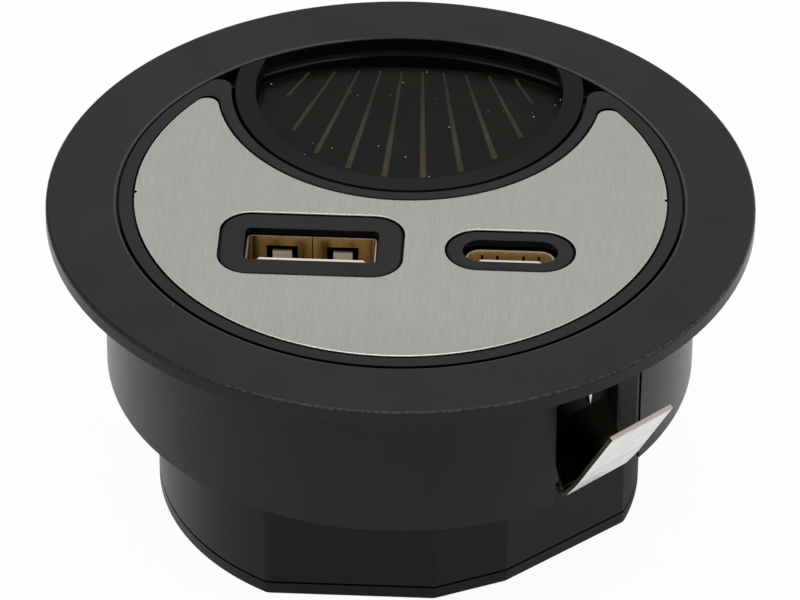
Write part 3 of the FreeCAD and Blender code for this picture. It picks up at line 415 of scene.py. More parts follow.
def black_plastic(name, colour, rough, depth, dusty, edges=(), fineness=9000.0, ior=1.36,
                  hollow_shade=None, upright_shade=1.0, **even):
    """Moulded black plastic.

    rough is its roughness, depth the grain's height in mm, and dusty the share of specks. edges
    are the circles that get a pale line, painted highlight that on the rim is partly wear, and
    hollow_shade says where painted shade makes it darker deep down. upright_shade is the tone of
    the painted shade on faces that aren't level, and even are plain values of sockets.
    """
    made, tree, sockets, where = new_finish(name, IOR=ior, **even)
    mould = place_group(tree, grain, {"Vector": where, "Fineness": fineness, "Drift": 0.1})
    specks = place_group(tree, dust, {"Vector": where, "Cells": 420.0, "Share": dusty, "Size": 0.03})
    tint = blend_colours(tree, specks["Mask"], shade(tree, colour, mould["Tone"]), SPECK_GREY)
    gloss = swing(tree, mould["Relief"], rough - 0.04, rough + 0.05)
    # Painted shade: darker deep down, between two levels and inside a radius.
    if hollow_shade:
        tint, gloss = paint_hollow_shade(tree, where, tint, gloss, **hollow_shade)
    # Painted shade: faces that aren't level get a darker tone.
    if upright_shade < 1:
        tint = shade(tree, tint, spread(tree, upness(tree), 0.9, 0.98, upright_shade, 1.0))
    for edge in edges:
        tint = pale_edge_line(tree, where, tint, **edge)
    feed(tree, sockets, Base_Color=tint, Roughness=gloss)
    relief(tree, sockets, mould["Relief"], depth, 0.6)
    return made


# %% [markdown]
# The ring shows three pale circles: its rim, where the line is partly wear and partly painted
# highlight, and the edge of the ledge in the outlet and the edge round its opening, where it is
# painted highlight. Both it and the face are painted nearly black with shade where they go down
# into the gaps.

# %% The black mouldings
RIM_WEAR_AND_HIGHLIGHT = {"radius": 35.2, "level": 1.5, "reach": 0.2, "broken": 0.85, "colour": (0.07, 0.07, 0.066)}
LEDGE_HIGHLIGHT = {"radius": 27.42, "level": 0.0, "reach": 0.22, "flanks": 0.85, "colour": (0.05, 0.05, 0.046)}
OPENING_HIGHLIGHT = {"radius": 28.33, "level": 1.6, "reach": 0.25, "flanks": 0.8, "colour": (0.1, 0.1, 0.095)}
ring_black = black_plastic(
    "ring black", (0.0205, 0.0214, 0.0208), rough=0.28, depth=0.02, dusty=0.22, ior=1.27, upright_shade=0.5,
    hollow_shade={"lowest": -4.0, "highest": 1.52, "radius": 28.32, "tone": 0.3},
    edges=[RIM_WEAR_AND_HIGHLIGHT, LEDGE_HIGHLIGHT, OPENING_HIGHLIGHT], Sheen_Weight=0.05, Sheen_Roughness=0.35)
face_black = black_plastic(
    "face black", (0.0205, 0.0216, 0.0205), rough=0.36, depth=0.015, dusty=0.15, ior=1.24, upright_shade=0.08,
    hollow_shade={"lowest": -3.0, "highest": 1.5, "radius": 40.0, "tone": 0.02})
band_black = black_plastic(
    "band black", (0.0035, 0.0042, 0.0035), rough=0.28, depth=0.01, dusty=0.2, ior=1.24)
housing_black = black_plastic(
    "housing black", (0.0065, 0.0072, 0.0054), rough=0.34, depth=0.012, dusty=0.3, ior=1.24)
inlet_black = black_plastic("inlet black", (0.012, 0.012, 0.012), rough=0.5, depth=0.02, dusty=0.0)
chip_black = black_plastic(
    "chip black", (0.01, 0.01, 0.011), rough=0.55, depth=0.02, dusty=0.0, fineness=14000.0)

# %% [markdown]
# The lower body's right end is rubbed dull, so it doesn't shine where it turns away. The band is
# a little paler towards its front.

# %% Dull end of the body and pale front of the band
BAND_FRONT, BAND_BACK = 2.0, 9.0
tree, sockets, _ = reopen(housing_black)
rubbed = spread(tree, axis(tree, facing(tree), "X"), 0.84, 0.95, 0.0, 0.28)
feed(tree, sockets, Roughness=plus(tree, so_far(sockets, "Roughness"), rubbed))
tree, sockets, where = reopen(band_black)
paler = spread(tree, axis(tree, where, "Y"), BAND_FRONT * MM, BAND_BACK * MM, 2.6, 1.0)
feed(tree, sockets, Base_Color=shade(tree, so_far(sockets, "Base Color"), paler))

# %% [markdown]
# The side walls of the two clip pockets are rougher than the skirt and painted much paler, as
# painted light. Both lie at the same distance to the sides of a clip's middle line.

# %% Pale side walls of the pockets
CLIP_TURN = math.radians(46)
CLIP_OUT = (math.cos(CLIP_TURN), -math.sin(CLIP_TURN), 0.0)
CLIP_ALONG = (math.sin(CLIP_TURN), math.cos(CLIP_TURN), 0.0)
POCKET_HALF, WALL_HALF = 5.4, 0.3
WALL_LIGHT_TONE, SKIN_ROUGHNESS = 20.0, 0.5
tree, sockets, where = reopen(ring_black)
aside, looks_aside = (unsigned(tree, dot(tree, vector, CLIP_ALONG)) for vector in (where, facing(tree)))
# Painted light: the pocket walls are made much paler.
lit_wall = times(tree, within(tree, aside, POCKET_HALF * MM, WALL_HALF * MM), over(tree, looks_aside, 0.3))
feed(tree, sockets, Base_Color=shade_where(tree, lit_wall, so_far(sockets, "Base Color"), WALL_LIGHT_TONE),
     Roughness=plus(tree, so_far(sockets, "Roughness"), times(tree, lit_wall, SKIN_ROUGHNESS)))

# %% [markdown]
# A thin black line of painted shade lies in the gaps round both frames and along the plate's inner edge.
# Each gap is a rounded outline, given by its middle's X and Y, half length, half width and corner.

# %% Dark lines in the gaps of the face
def outline(tree, where, x, y, half_length, half_width, corner, line=0.15):
    """The distance to a rounded oblong and a mask along it, from sizes in mm."""
    return place_group(tree, rounded, {
        "Vector": where, "Middle": (x * MM, y * MM, 0.0), "Half Length": half_length * MM,
        "Half Width": half_width * MM, "Corner": corner * MM, "Line": line * MM})


PORTS_Y, USB_A_X, USB_C_X = -8.7, -8.4, 11.2
OUTLET_Y, BORDER_RADIUS = 18.85, 19.4
GAP_SHADE_END, GAP_SHADE_FADE = 13.0, 1.0
GAPS = [(USB_A_X, PORTS_Y, 8.975, 5.0, 3.0), (USB_C_X, PORTS_Y, 6.275, 3.225, 3.2),
        (0.0, OUTLET_Y, BORDER_RADIUS, BORDER_RADIUS, BORDER_RADIUS)]
tree, sockets, where = reopen(face_black)
tint = so_far(sockets, "Base Color")
forwards = spread(tree, axis(tree, where, "Y"), GAP_SHADE_END * MM, (GAP_SHADE_END + GAP_SHADE_FADE) * MM, 1.0, 0.0)
for gap in GAPS:
    gap_shade = times(tree, outline(tree, where, *gap, line=0.2)["Mask"], forwards)
    tint = blend_colours(tree, gap_shade, tint, (0.0005, 0.0005, 0.0004))
feed(tree, sockets, Base_Color=tint)

# %% [markdown]
# The flange's side is darker at the left, where it turns away from the light.

# %% Left side of the flange
FLANGE_RADIUS = cad_box[1].x / MM
SHADE_LEFT, SHADE_RIGHT, SIDE_TONE = -26.0, -12.0, 0.15
tree, sockets, where = reopen(ring_black)
side = outline(tree, where, 0.0, 0.0, FLANGE_RADIUS, FLANGE_RADIUS, FLANGE_RADIUS, line=0.35)["Mask"]
leftwards = spread(tree, axis(tree, where, "X"), SHADE_LEFT * MM, SHADE_RIGHT * MM, 1.0, 0.0)
darker = shade_where(tree, times(tree, side, leftwards), so_far(sockets, "Base Color"), SIDE_TONE)
feed(tree, sockets, Base_Color=darker)

# %% [markdown]
# ### Aluminium plate
# The crescent is sheet that was brushed, then clear anodised. Its cut edges were left bright, and
# they show as thin white lines. The material finds them by the face's own direction: where the
# face looks sideways it is an edge. The edge's foot, down in the gap, is painted dark as shade.

# %% Plate
SHADED_FOOT_LEVEL, FRONT_END, FRONT_FADE = 1.58, -26.0, 8.0
plate_metal, tree, sockets, where = new_finish("brushed aluminium", Metallic=1.0)
lines = place_group(tree, brushed, {"Vector": where, "Fineness": 6500.0, "Stretch": 0.05})
rolled = spread(tree, upness(tree), 0.93, 0.98, 1.0, 0.0)
# Painted shade: the edge's foot down in the gap is dark.
shaded_foot = under(tree, axis(tree, where, "Z"), SHADED_FOOT_LEVEL * MM)
tone = plus(tree, swing(tree, lines["Scratch"], 0.94, 1.05), swing(tree, lines["Cloud"], -0.02, 0.02))
backness = spread(tree, axis(tree, where, "Y"), FRONT_END * MM, (FRONT_END + FRONT_FADE) * MM, 0.94, 1.0)
face_tint = shade(tree, (0.71, 0.695, 0.635), times(tree, tone, backness))
edge_tint = blend_colours(tree, shaded_foot, (1.0, 0.99, 0.96), (0.02, 0.02, 0.02))
gloss = minus(tree, swing(tree, lines["Scratch"], 0.27, 0.37), times(tree, rolled, 0.12))
feed(tree, sockets, Base_Color=blend_colours(tree, rolled, face_tint, edge_tint), Roughness=gloss)
relief(tree, sockets, lines["Scratch"], 0.004, 0.5)

# %% [markdown]
# ### Rubber sheet
# The slitted sheet is glossier and blacker than the plastic round it, and it holds dust. Its
# slits look brown and dull, because light comes up through them from below.

# %% Rubber
rubber, tree, sockets, where = new_finish("membrane black", IOR=1.22)
mould = place_group(tree, grain, {"Vector": where, "Fineness": 3000.0, "Drift": 0.15})
specks = place_group(tree, dust, {"Vector": where, "Cells": 900.0, "Share": 0.5, "Size": 0.07})
lint = place_group(tree, dust, {"Vector": where, "Cells": 560.0, "Share": 0.8, "Size": 0.045})
film = blend_colours(tree, spread(tree, noise(tree, where, 230.0), 0.38, 0.62, 0.0, 1.0),
                     (0.005, 0.0046, 0.0026), (0.0026, 0.0042, 0.0034))
dusted = calc(tree, "MAXIMUM", times(tree, specks["Mask"], 0.75), lint["Mask"])
tint = blend_colours(tree, dusted, shade(tree, film, mould["Tone"]), (0.5, 0.5, 0.48))
feed(tree, sockets, Base_Color=tint, Roughness=swing(tree, mould["Relief"], 0.2, 0.3))
relief(tree, sockets, mould["Relief"], 0.02, 0.25)

# %% [markdown]
# The brown of the slits fades towards the rear, where less light comes up.

# %% Brown of the slits
WEB_FRONT, WEB_REAR = 11.0, 24.0
web_brown, tree, sockets, where = new_finish("slit brown", IOR=1.3)
mould = place_group(tree, grain, {"Vector": where, "Fineness": 2500.0, "Drift": 0.25})
rearwards = spread(tree, axis(tree, where, "Y"), WEB_FRONT * MM, WEB_REAR * MM, 0.0, 1.0)
warm = blend_colours(tree, rearwards, (0.051, 0.041, 0.025), (0.026, 0.025, 0.019))
feed(tree, sockets, Base_Color=shade(tree, warm, mould["Tone"]),
     Roughness=swing(tree, mould["Relief"], 0.6, 0.75))
relief(tree, sockets, mould["Relief"], 0.02, 0.3)

# %% [markdown]
# ### Spring and socket metals
# The clips are nickel-plated spring strip: bright faces, and edges where the shears left the
# plating thin and tan. The socket shells are thinner plated sheet that looks brown deep in the
# sockets. The pins are gold, the screws are zinc, and the wire is lacquered copper.

# %% Metals
def plated(name, colour, rough, fineness=2500.0, turn=0.0, side=None, edge_colour=None):
    """Plated sheet with a drawn grain. Faces that look along side are its cut edges."""
    made, tree, sockets, where = new_finish(name, Metallic=1.0)
    lines = place_group(tree, brushed, {"Vector": where, "Turn": turn, "Fineness": fineness,
                                        "Stretch": 0.08})
    tone = plus(tree, swing(tree, lines["Scratch"], 0.92, 1.06),
                swing(tree, lines["Cloud"], -0.05, 0.03))
    tint = shade(tree, colour, tone)
    gloss = swing(tree, lines["Cloud"], rough - 0.05, rough + 0.08)
    if side:
        cut_edge = over(tree, unsigned(tree, dot(tree, facing(tree), side)), 0.8)
        tint = blend_colours(tree, cut_edge, tint, edge_colour)
        gloss = plus(tree, gloss, times(tree, cut_edge, 0.25))
    feed(tree, sockets, Base_Color=tint, Roughness=gloss)
    relief(tree, sockets, lines["Scratch"], 0.003, 0.4)
    return made


UP = (0.0, 0.0, 1.0)
spring_steel = plated("spring steel", (0.80, 0.80, 0.78), rough=0.2, fineness=4000.0,
                      turn=math.pi / 2 - CLIP_TURN, side=CLIP_ALONG, edge_colour=(0.085, 0.07, 0.05))
socket_steel = plated("socket steel", (0.84, 0.62, 0.34), rough=0.26, side=UP,
                      edge_colour=(0.7, 0.62, 0.52))
small_socket_steel = plated("small socket steel", (1.0, 0.8, 0.5), rough=0.36, side=UP,
                            edge_colour=(0.75, 0.67, 0.58))
contact_gold = plated("contact gold", (0.83, 0.62, 0.28), rough=0.25, fineness=3000.0)
zinc = plated("zinc", (0.62, 0.63, 0.64), rough=0.35)
copper_wire = plated("copper wire", (0.72, 0.33, 0.16), rough=0.3, fineness=2000.0)
can_metal = plated("can aluminium", (0.75, 0.75, 0.74), rough=0.3)

# %% [markdown]
# A clip's leaf has a faint crease across it, a burr along its sheared top end and an inner bend,
# and all three get painted shade. They are placed by how far a point lies up the leaf from its
# knee, and by how far it stands out from the charger's middle. The other clip is opposite, so the
# distance outwards is taken without its sign.

# %% Places on a spring leaf
LEAN, LEAF_LENGTH = math.radians(29.8), 9.25
KNEE_RADIUS, KNEE_LEVEL, BEND_RADIUS = 30.94, -14.28, 28.6
CREASE_AT, CREASE_HALF, BURR_HALF = 1.35, 0.07, 0.1
tree, sockets, where = reopen(spring_steel)
outwards = unsigned(tree, dot(tree, where, CLIP_OUT))
leaning = times(tree, minus(tree, outwards, KNEE_RADIUS * MM), math.sin(LEAN))
rising = times(tree, minus(tree, axis(tree, where, "Z"), KNEE_LEVEL * MM), math.cos(LEAN))
along = plus(tree, leaning, rising)
# Painted shade along the crease and the burr.
crease_shade = within(tree, along, CREASE_AT * MM, CREASE_HALF * MM)
burr_shadow = within(tree, along, (LEAF_LENGTH - 0.25) * MM, BURR_HALF * MM)
top_end = over(tree, along, (LEAF_LENGTH - 0.01) * MM)
bend = under(tree, outwards, (BEND_RADIUS - 0.1) * MM)

# %% [markdown]
# Each mask now changes the leaf's colour: the foot below the crease is greyer with painted shade,
# the crease and the burr are dark lines of painted shade, the top end is bare and tan, and the
# bend is painted deep in shade.

# %% Tones of a spring leaf
mottle = spread(tree, noise(tree, where, 700.0, 4.0), 0.35, 0.65, 0.92, 1.04)
leaf_tint = shade(tree, so_far(sockets, "Base Color"), mottle)
foot_shade = spread(tree, along, (CREASE_AT - 0.05) * MM, (CREASE_AT + 0.05) * MM, 0.88, 1.0)
leaf_tint = shade(tree, leaf_tint, foot_shade)
leaf_tint = shade_where(tree, calc(tree, "MAXIMUM", crease_shade, burr_shadow), leaf_tint, 0.35)
leaf_tint = blend_colours(tree, top_end, leaf_tint, (0.72, 0.66, 0.57))
feed(tree, sockets, Base_Color=shade_where(tree, bend, leaf_tint, 0.12))
print("leaf:", LEAF_LENGTH, "mm long, leaning by", round(math.degrees(LEAN), 1), "degrees")

# %% [markdown]
# The spring leaves in the wide socket are bare strip, paler than the shell that they are cut out
# of. A mask by place finds them: two narrow fields, low on the rear wall.

# %% Pale leaves in the socket shell
LEAF_OFFSET, LEAF_HALF_WIDTH, LEAF_LEVEL, LEAF_HALF_HEIGHT = 3.0, 0.97, -3.3, 2.42
REAR_WALL_Y = PORTS_Y + 1.8
tree, sockets, where = reopen(socket_steel)
off_middle = unsigned(tree, minus(tree, axis(tree, where, "X"), USB_A_X * MM))
leaf = times(tree, within(tree, off_middle, LEAF_OFFSET * MM, LEAF_HALF_WIDTH * MM),
             within(tree, axis(tree, where, "Z"), LEAF_LEVEL * MM, LEAF_HALF_HEIGHT * MM),
             over(tree, axis(tree, where, "Y"), REAR_WALL_Y * MM))
bare = shade(tree, (1.0, 0.93, 0.8), swing(tree, noise(tree, where, 600.0), 0.9, 1.0))
feed(tree, sockets, Base_Color=blend_colours(tree, leaf, so_far(sockets, "Base Color"), bare),
     Roughness=plus(tree, so_far(sockets, "Roughness"), times(tree, leaf, 0.35)),
     Metallic=spread(tree, leaf, 0.0, 1.0, 1.0, 0.3))

# %% [markdown]
# Each shell's rim is bright only along its inner side. Outside it is rounded over and painted
# dark with shade. The wide shell is also browner at its left end.

# %% Rims of the socket shells
BRIGHT_WIDTH, LEFT_END, LEFT_FADE = 0.16, -14.8, 1.5
RIMS = {socket_steel: (0.8, (USB_A_X, PORTS_Y, 6.55, 2.575, 0.6)),
        small_socket_steel: (0.6, (USB_C_X, PORTS_Y, 4.5, 1.6, 1.58))}
for metal, (level, shape) in RIMS.items():
    tree, sockets, where = reopen(metal)
    # Painted shade: the rim outside the bright band is dark.
    rim_shade = times(tree, over(tree, outline(tree, where, *shape)["Distance"], -BRIGHT_WIDTH * MM),
                  over(tree, axis(tree, where, "Z"), level * MM))
    browner = spread(tree, axis(tree, where, "X"), LEFT_END * MM, (LEFT_END + LEFT_FADE) * MM, 0.6, 1.0)
    tint = shade(tree, so_far(sockets, "Base Color"), browner)
    feed(tree, sockets, Base_Color=blend_colours(tree, rim_shade, tint, (0.03, 0.027, 0.022)))

# %% [markdown]
# ### Inner leg of a clip
# The leg lies deep in its pocket and is painted dark with shade, with a brown painted reflection
# low down. Only the small barb that is lanced out of it keeps the bright colour of steel. It is
# found by its place too: it stands out from the leg's flat upper half.

# %% Leg
REFLECTION_LOW, REFLECTION_HIGH, BARB_OUT, BARB_LEVEL = -15.6, -13.2, 26.87, -9.35
shaded_leg_steel, tree, sockets, where = new_finish("shaded leg steel", Metallic=1.0)
level = axis(tree, where, "Z")
blotches = noise(tree, where, 330.0, 3.0)
# Painted reflection: brown low down on the leg, broken up by a noise.
brown = times(tree, spread(tree, level, REFLECTION_LOW * MM, REFLECTION_HIGH * MM, 1.0, 0.0),
              spread(tree, blotches, 0.45, 0.62, 0.0, 1.0))
leg_shade = blend_colours(tree, brown, (0.0022, 0.0028, 0.0012), (0.06, 0.048, 0.026))
barb = times(tree, over(tree, unsigned(tree, dot(tree, where, CLIP_OUT)), BARB_OUT * MM),
             over(tree, level, BARB_LEVEL * MM))
barb_steel = shade(tree, (0.9, 0.9, 0.86), swing(tree, blotches, 0.85, 1.0))
feed(tree, sockets, Base_Color=blend_colours(tree, barb, leg_shade, barb_steel),
     Roughness=swing(tree, blotches, 0.22, 0.4))
relief(tree, sockets, blotches, 0.02, 0.4)

# %% [markdown]
# ### Plastics inside the sockets and on the board
# The tongues that carry the contacts are ivory, the choke's core is dull ferrite, and the two
# leads are red.

# %% Small plastics
def tinted(name, colour, second, rough, fineness):
    """A plain moulded or sintered stuff whose tone drifts between two colours."""
    made, tree, sockets, where = new_finish(name)
    mould = place_group(tree, grain, {"Vector": where, "Fineness": fineness, "Drift": 0.06})
    share = spread(tree, mould["Relief"], 0.35, 0.65, 0.0, 1.0)
    feed(tree, sockets, Base_Color=blend_colours(tree, share, colour, second),
         Roughness=swing(tree, mould["Relief"], rough - 0.05, rough + 0.07))
    relief(tree, sockets, mould["Relief"], 0.01, 0.4)
    return made


ivory = tinted("ivory", (0.86, 0.81, 0.7), (0.8, 0.75, 0.63), rough=0.45, fineness=2500.0)
ferrite = tinted("ferrite", (0.05, 0.05, 0.052), (0.08, 0.078, 0.075), rough=0.7, fineness=6000.0)
lead_red = tinted("lead red", (0.33, 0.02, 0.015), (0.26, 0.015, 0.012), rough=0.4, fineness=3000.0)

# %% [markdown]
# The board is green lacquer over copper tracks. A brick pattern stands for the tracks, because
# only their regular rows show through the lacquer.

# %% Circuit board
board_green, tree, sockets, where = new_finish("board green", Roughness=0.3)
rows = add(tree, "ShaderNodeTexBrick",
           {"Vector": where, "Scale": 450.0, "Mortar Size": 0.08, "Color1": (0.012, 0.10, 0.035, 1),
            "Color2": (0.016, 0.12, 0.04, 1), "Mortar": (0.05, 0.2, 0.07, 1)})
feed(tree, sockets, Base_Color=rows.outputs["Color"])
relief(tree, sockets, rows.outputs["Fac"], 0.02, 0.5)

# %% [markdown]
# ## Dressing the solids
# A solid whose shape is right keeps its mesh and only gets a better material. The list pairs
# each finish with the solids that it goes on, and the loop fails loudly if a name is wrong.

# %% Finishes for the solids
WEARS = {
    ring_black: ["flange_ring"],
    face_black: ["face_insert"],
    band_black: ["cable_frame"],
    plate_metal: ["face_plate"],
    rubber: ["finger_membrane"],
    housing_black: ["lower_housing", "base_cover"],
    spring_steel: ["front_clip_leaf", "rear_clip_leaf"],
    shaded_leg_steel: ["front_clip_leg", "rear_clip_leg"],
    socket_steel: ["usb_a_shell"],
    small_socket_steel: ["usb_c_shell"],
    ivory: ["usb_a_tongue", "usb_c_tongue"],
    contact_gold: ["usb_a_contacts", "usb_c_contacts", "inlet_pin"],
    zinc: ["case_screws", "board_screws"],
    board_green: ["circuit_board"],
    ferrite: ["power_inductor"],
    copper_wire: ["inductor_winding"],
    can_metal: ["filter_capacitors"],
    chip_black: ["controller_chip"],
    inlet_black: ["power_inlet"],
    lead_red: ["supply_leads"],
}
for finish, names in WEARS.items():
    for name in names:
        for slot in nodes[name].material_slots:
            slot.material = finish
print("dressed:", sum(len(names) for names in WEARS.values()), "of", len(nodes))

# %% [markdown]
# ## Rubber sheet with its fan of slits
# A half-moon of soft rubber covers the outlet. Ten tapered slits spread forwards from one point
# behind it and part it into fingers that give way to a cable. The shape follows a rule, so
# Geometry Nodes make it: one outline is drawn, one slit is turned round the far point ten times,
# and the flat shape between them is filled and thickened. The fingers sag a little, each by its
# own amount, as soft sheet does. The outline comes first: it is the part that three circles
# share, and a ray from the sheet's middle finds its edge by halving.

# %% Outline of the sheet
low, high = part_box("finger_membrane")
sheet_top, sheet_thick = high.z, high.z - low.z
SHEET_RADIUS, SHEET_MIDDLE = high.x / MM, 15.0
BAND_RADIUS, REAR_RADIUS, REAR_CENTRE = 27.1, 58.0, -32.1
RIM_POINTS, FARTHEST, HALVINGS = 360, 30.0, 40


def inside_sheet(x, y):
    """How far a point lies inside the sheet's outline, in mm. It is negative outside."""
    return min(SHEET_RADIUS - math.hypot(x, y - OUTLET_Y),
               BAND_RADIUS - math.hypot(x, y), REAR_RADIUS - math.hypot(x, y - REAR_CENTRE))


def rim_point(angle):
    """The outline's point at an angle about the sheet's middle, found by halving."""
    near, far = 0.0, FARTHEST
    for _ in range(HALVINGS):
        middle = (near + far) / 2
        inside = inside_sheet(middle * math.cos(angle), SHEET_MIDDLE + middle * math.sin(angle)) > 0
        near, far = (middle, far) if inside else (near, middle)
    return near * math.cos(angle) * MM, (SHEET_MIDDLE + near * math.sin(angle)) * MM, 0.0


def link_object(name, data):
    """An object that shows the data, in the scene."""
    made = bpy.data.objects.new(name, data)
    bpy.context.scene.collection.objects.link(made)
    return made


rim_curve = bpy.data.curves.new("sheet_outline", "CURVE")
rim_curve.dimensions = "3D"
rim = rim_curve.splines.new("POLY")
rim.points.add(RIM_POINTS - 1)
for number, point in enumerate(rim.points):
    point.co = (*rim_point(math.tau * number / RIM_POINTS), 1.0)
rim.use_cyclic_u = True
sheet_curve = link_object("sheet_outline", rim_curve)
print("sheet", round(sheet_thick / MM, 2), "mm thick, outline of", len(rim.points), "points")

# %% [markdown]
# A tree of Geometry Nodes passes a shape from node to node. The helpers store a value on it,
# join pieces, lift them, place one piece on many points and thicken a flat one. An instance is
# only a reference, so each tree ends by making its shape real and setting its finish.

# %% Helpers for shapes
SHAPE, FINISH = "NodeSocketGeometry", "NodeSocketMaterial"
MERGED = 0.001 * MM


def keep(tree, geometry, name, value, kind="FLOAT"):
    """The geometry with a value stored on its points under a name."""
    inputs = {"Geometry": geometry, "Name": name, "Value": value}
    node = add(tree, "GeometryNodeStoreNamedAttribute", inputs, data_type=kind, domain="POINT")
    return node.outputs[0]


def stored(tree, name, kind="FLOAT"):
    """A value that was stored under a name."""
    return add(tree, "GeometryNodeInputNamedAttribute", {"Name": name}, data_type=kind).outputs[0]


def join(tree, *pieces):
    """All the pieces as one geometry."""
    node = add(tree, "GeometryNodeJoinGeometry")
    for piece in pieces:
        tree.links.new(piece, node.inputs[0])
    return node.outputs[0]


def lift(tree, geometry, height):
    """The geometry moved up by a height."""
    up = add(tree, "ShaderNodeCombineXYZ", {"Z": height}).outputs[0]
    return add(tree, "GeometryNodeTransform", {"Geometry": geometry, "Translation": up}).outputs[0]


def stand_on(tree, points, piece):
    """The piece placed on each of the points."""
    inputs = {"Points": points, "Instance": piece}
    return add(tree, "GeometryNodeInstanceOnPoints", inputs).outputs[0]


def thicken(tree, flat, level, thickness):
    """A closed slab from a flat mesh, which is moved to a level and pulled up by a thickness."""
    up = add(tree, "ShaderNodeCombineXYZ", {"Z": level}).outputs[0]
    moved = add(tree, "GeometryNodeSetPosition", {"Geometry": flat, "Offset": up}).outputs[0]
    grown = add(tree, "GeometryNodeExtrudeMesh", {"Mesh": moved, "Offset": (0.0, 0.0, 1.0),
                                                  "Offset Scale": thickness, "Individual": False})
    bottom = add(tree, "GeometryNodeFlipFaces", {"Mesh": moved})
    closed = join(tree, grown.outputs["Mesh"], bottom.outputs[0])
    inputs = {"Geometry": closed, "Distance": MERGED}
    return add(tree, "GeometryNodeMergeByDistance", inputs).outputs[0]


def finished(tree, geometry, finish):
    """The geometry made real, in one finish."""
    real = add(tree, "GeometryNodeRealizeInstances", {"Geometry": geometry}).outputs[0]
    return add(tree, "GeometryNodeSetMaterial", {"Geometry": real, "Material": finish}).outputs[0]


# %% [markdown]
# The slit is a narrow wedge. Its front end lies on a circle about the outlet's middle and its rear
# end just inside the sheet's rear edge, so both ends change from slit to slit. The tree works
# them out from the slit's angle, as the lengths of a ray from the fan's point to those circles.

# %% Where each slit starts and ends
def chord(tree, middle, radius, angle, sign):
    """How far along a ray from the fan's point a circle lies, at its near or its far side."""
    ahead, aside = (times(tree, middle, calc(tree, wave, angle)) for wave in ("COSINE", "SINE"))
    left = minus(tree, times(tree, radius, radius), times(tree, aside, aside))
    return plus(tree, ahead, times(tree, calc(tree, "SQRT", left), sign))


FAN_Y, FIELD_RADIUS, SLIT_PITCH = 48.0, 12.65, math.radians(5.4)
fan, given, out = new_group(
    "Slitted sheet",
    {"Outline": (SHAPE, None), "Slits": ("NodeSocketInt", 10), "Pitch": (NUMBER, SLIT_PITCH),
     "Fan": (NUMBER, FAN_Y * MM), "Field": (NUMBER, FIELD_RADIUS * MM),
     "Middle": (NUMBER, OUTLET_Y * MM), "Rear": (NUMBER, REAR_RADIUS * MM),
     "Rear Middle": (NUMBER, REAR_CENTRE * MM), "Band": (NUMBER, BAND_RADIUS * MM),
     "Edge": (NUMBER, 0.4 * MM), "Front Width": (NUMBER, 0.74 * MM),
     "Rear Width": (NUMBER, 0.26 * MM), "Top": (NUMBER, sheet_top),
     "Thickness": (NUMBER, sheet_thick), "Sag": (NUMBER, 0.12 * MM),
     "Web Depth": (NUMBER, 0.1 * MM), "Web Thickness": (NUMBER, 0.25 * MM),
     "Finish": (FINISH, None), "Web Finish": (FINISH, None)},
    {"Geometry": SHAPE}, kind="GeometryNodeTree")
number = add(fan, "GeometryNodeInputIndex").outputs[0]
first_angle = times(fan, minus(fan, given["Slits"], 1.0), -0.5, given["Pitch"])
angle = plus(fan, first_angle, times(fan, number, given["Pitch"]))
far = chord(fan, minus(fan, given["Fan"], given["Middle"]), given["Field"], angle, 1.0)
rear = chord(fan, minus(fan, given["Fan"], given["Rear Middle"]), given["Rear"], angle, -1.0)
side = chord(fan, given["Fan"], given["Band"], angle, -1.0)
near = plus(fan, calc(fan, "MAXIMUM", rear, side), given["Edge"])

# %% [markdown]
# One oblong stands on a point for each slit. It is then stretched between that slit's two ends,
# tapered, and turned to the slit's angle about the fan's point.

# %% The slits
SLIT_NEAR, SLIT_FAR = 21.3, 42.6
marked = add(fan, "GeometryNodePoints", {"Count": given["Slits"]}).outputs[0]
for label, value in (("far", far), ("near", near), ("turn", angle)):
    marked = keep(fan, marked, label, value)
unit = add(fan, "GeometryNodeCurvePrimitiveQuadrilateral",
           {"Point 1": (-1, 1, 0), "Point 2": (1, 1, 0), "Point 3": (1, 0, 0), "Point 4": (-1, 0, 0)},
           mode="POINTS").outputs[0]
slits = add(fan, "GeometryNodeRealizeInstances", {"Geometry": stand_on(fan, marked, unit)}).outputs[0]
here = add(fan, "GeometryNodeInputPosition").outputs[0]
reach = minus(fan, stored(fan, "far"), stored(fan, "near"))
run = plus(fan, stored(fan, "near"), times(fan, axis(fan, here, "Y"), reach))
wide_at = spread(fan, run, SLIT_NEAR * MM, SLIT_FAR * MM, given["Rear Width"], given["Front Width"])
aside = times(fan, axis(fan, here, "X"), 0.5, wide_at)
laid = add(fan, "ShaderNodeCombineXYZ", {"X": aside, "Y": times(fan, run, -1.0)}).outputs[0]
spun = add(fan, "ShaderNodeVectorRotate", {"Vector": laid, "Angle": stored(fan, "turn")},
           rotation_type="Z_AXIS").outputs[0]
behind = add(fan, "ShaderNodeCombineXYZ", {"Y": given["Fan"]}).outputs[0]
seat = add(fan, "ShaderNodeVectorMath", {0: spun, 1: behind}, operation="ADD").outputs[0]
shaped = add(fan, "GeometryNodeSetPosition", {"Geometry": slits, "Position": seat}).outputs[0]

# %% [markdown]
# Filling the outline and the slits together leaves the slits open. Filling the slits alone gives
# a dull web that closes them, a little lower, whose brown finish is painted light: it stands in
# for the light that comes up through the slits. The fingers sag most in the middle of the sheet,
# each by its own amount, which a slow noise gives, and the web sags with them. An attribute marks
# the web, so that it gets a finish of its own.

# %% Filling, sag and finishes
def filled(tree, curves, step):
    """The flat mesh inside closed curves, whose points are a step apart."""
    finely = add(tree, "GeometryNodeResampleCurve", {"Curve": curves, "Length": step}, mode="LENGTH")
    return add(tree, "GeometryNodeFillCurve", {"Curve": finely.outputs[0]}).outputs[0]


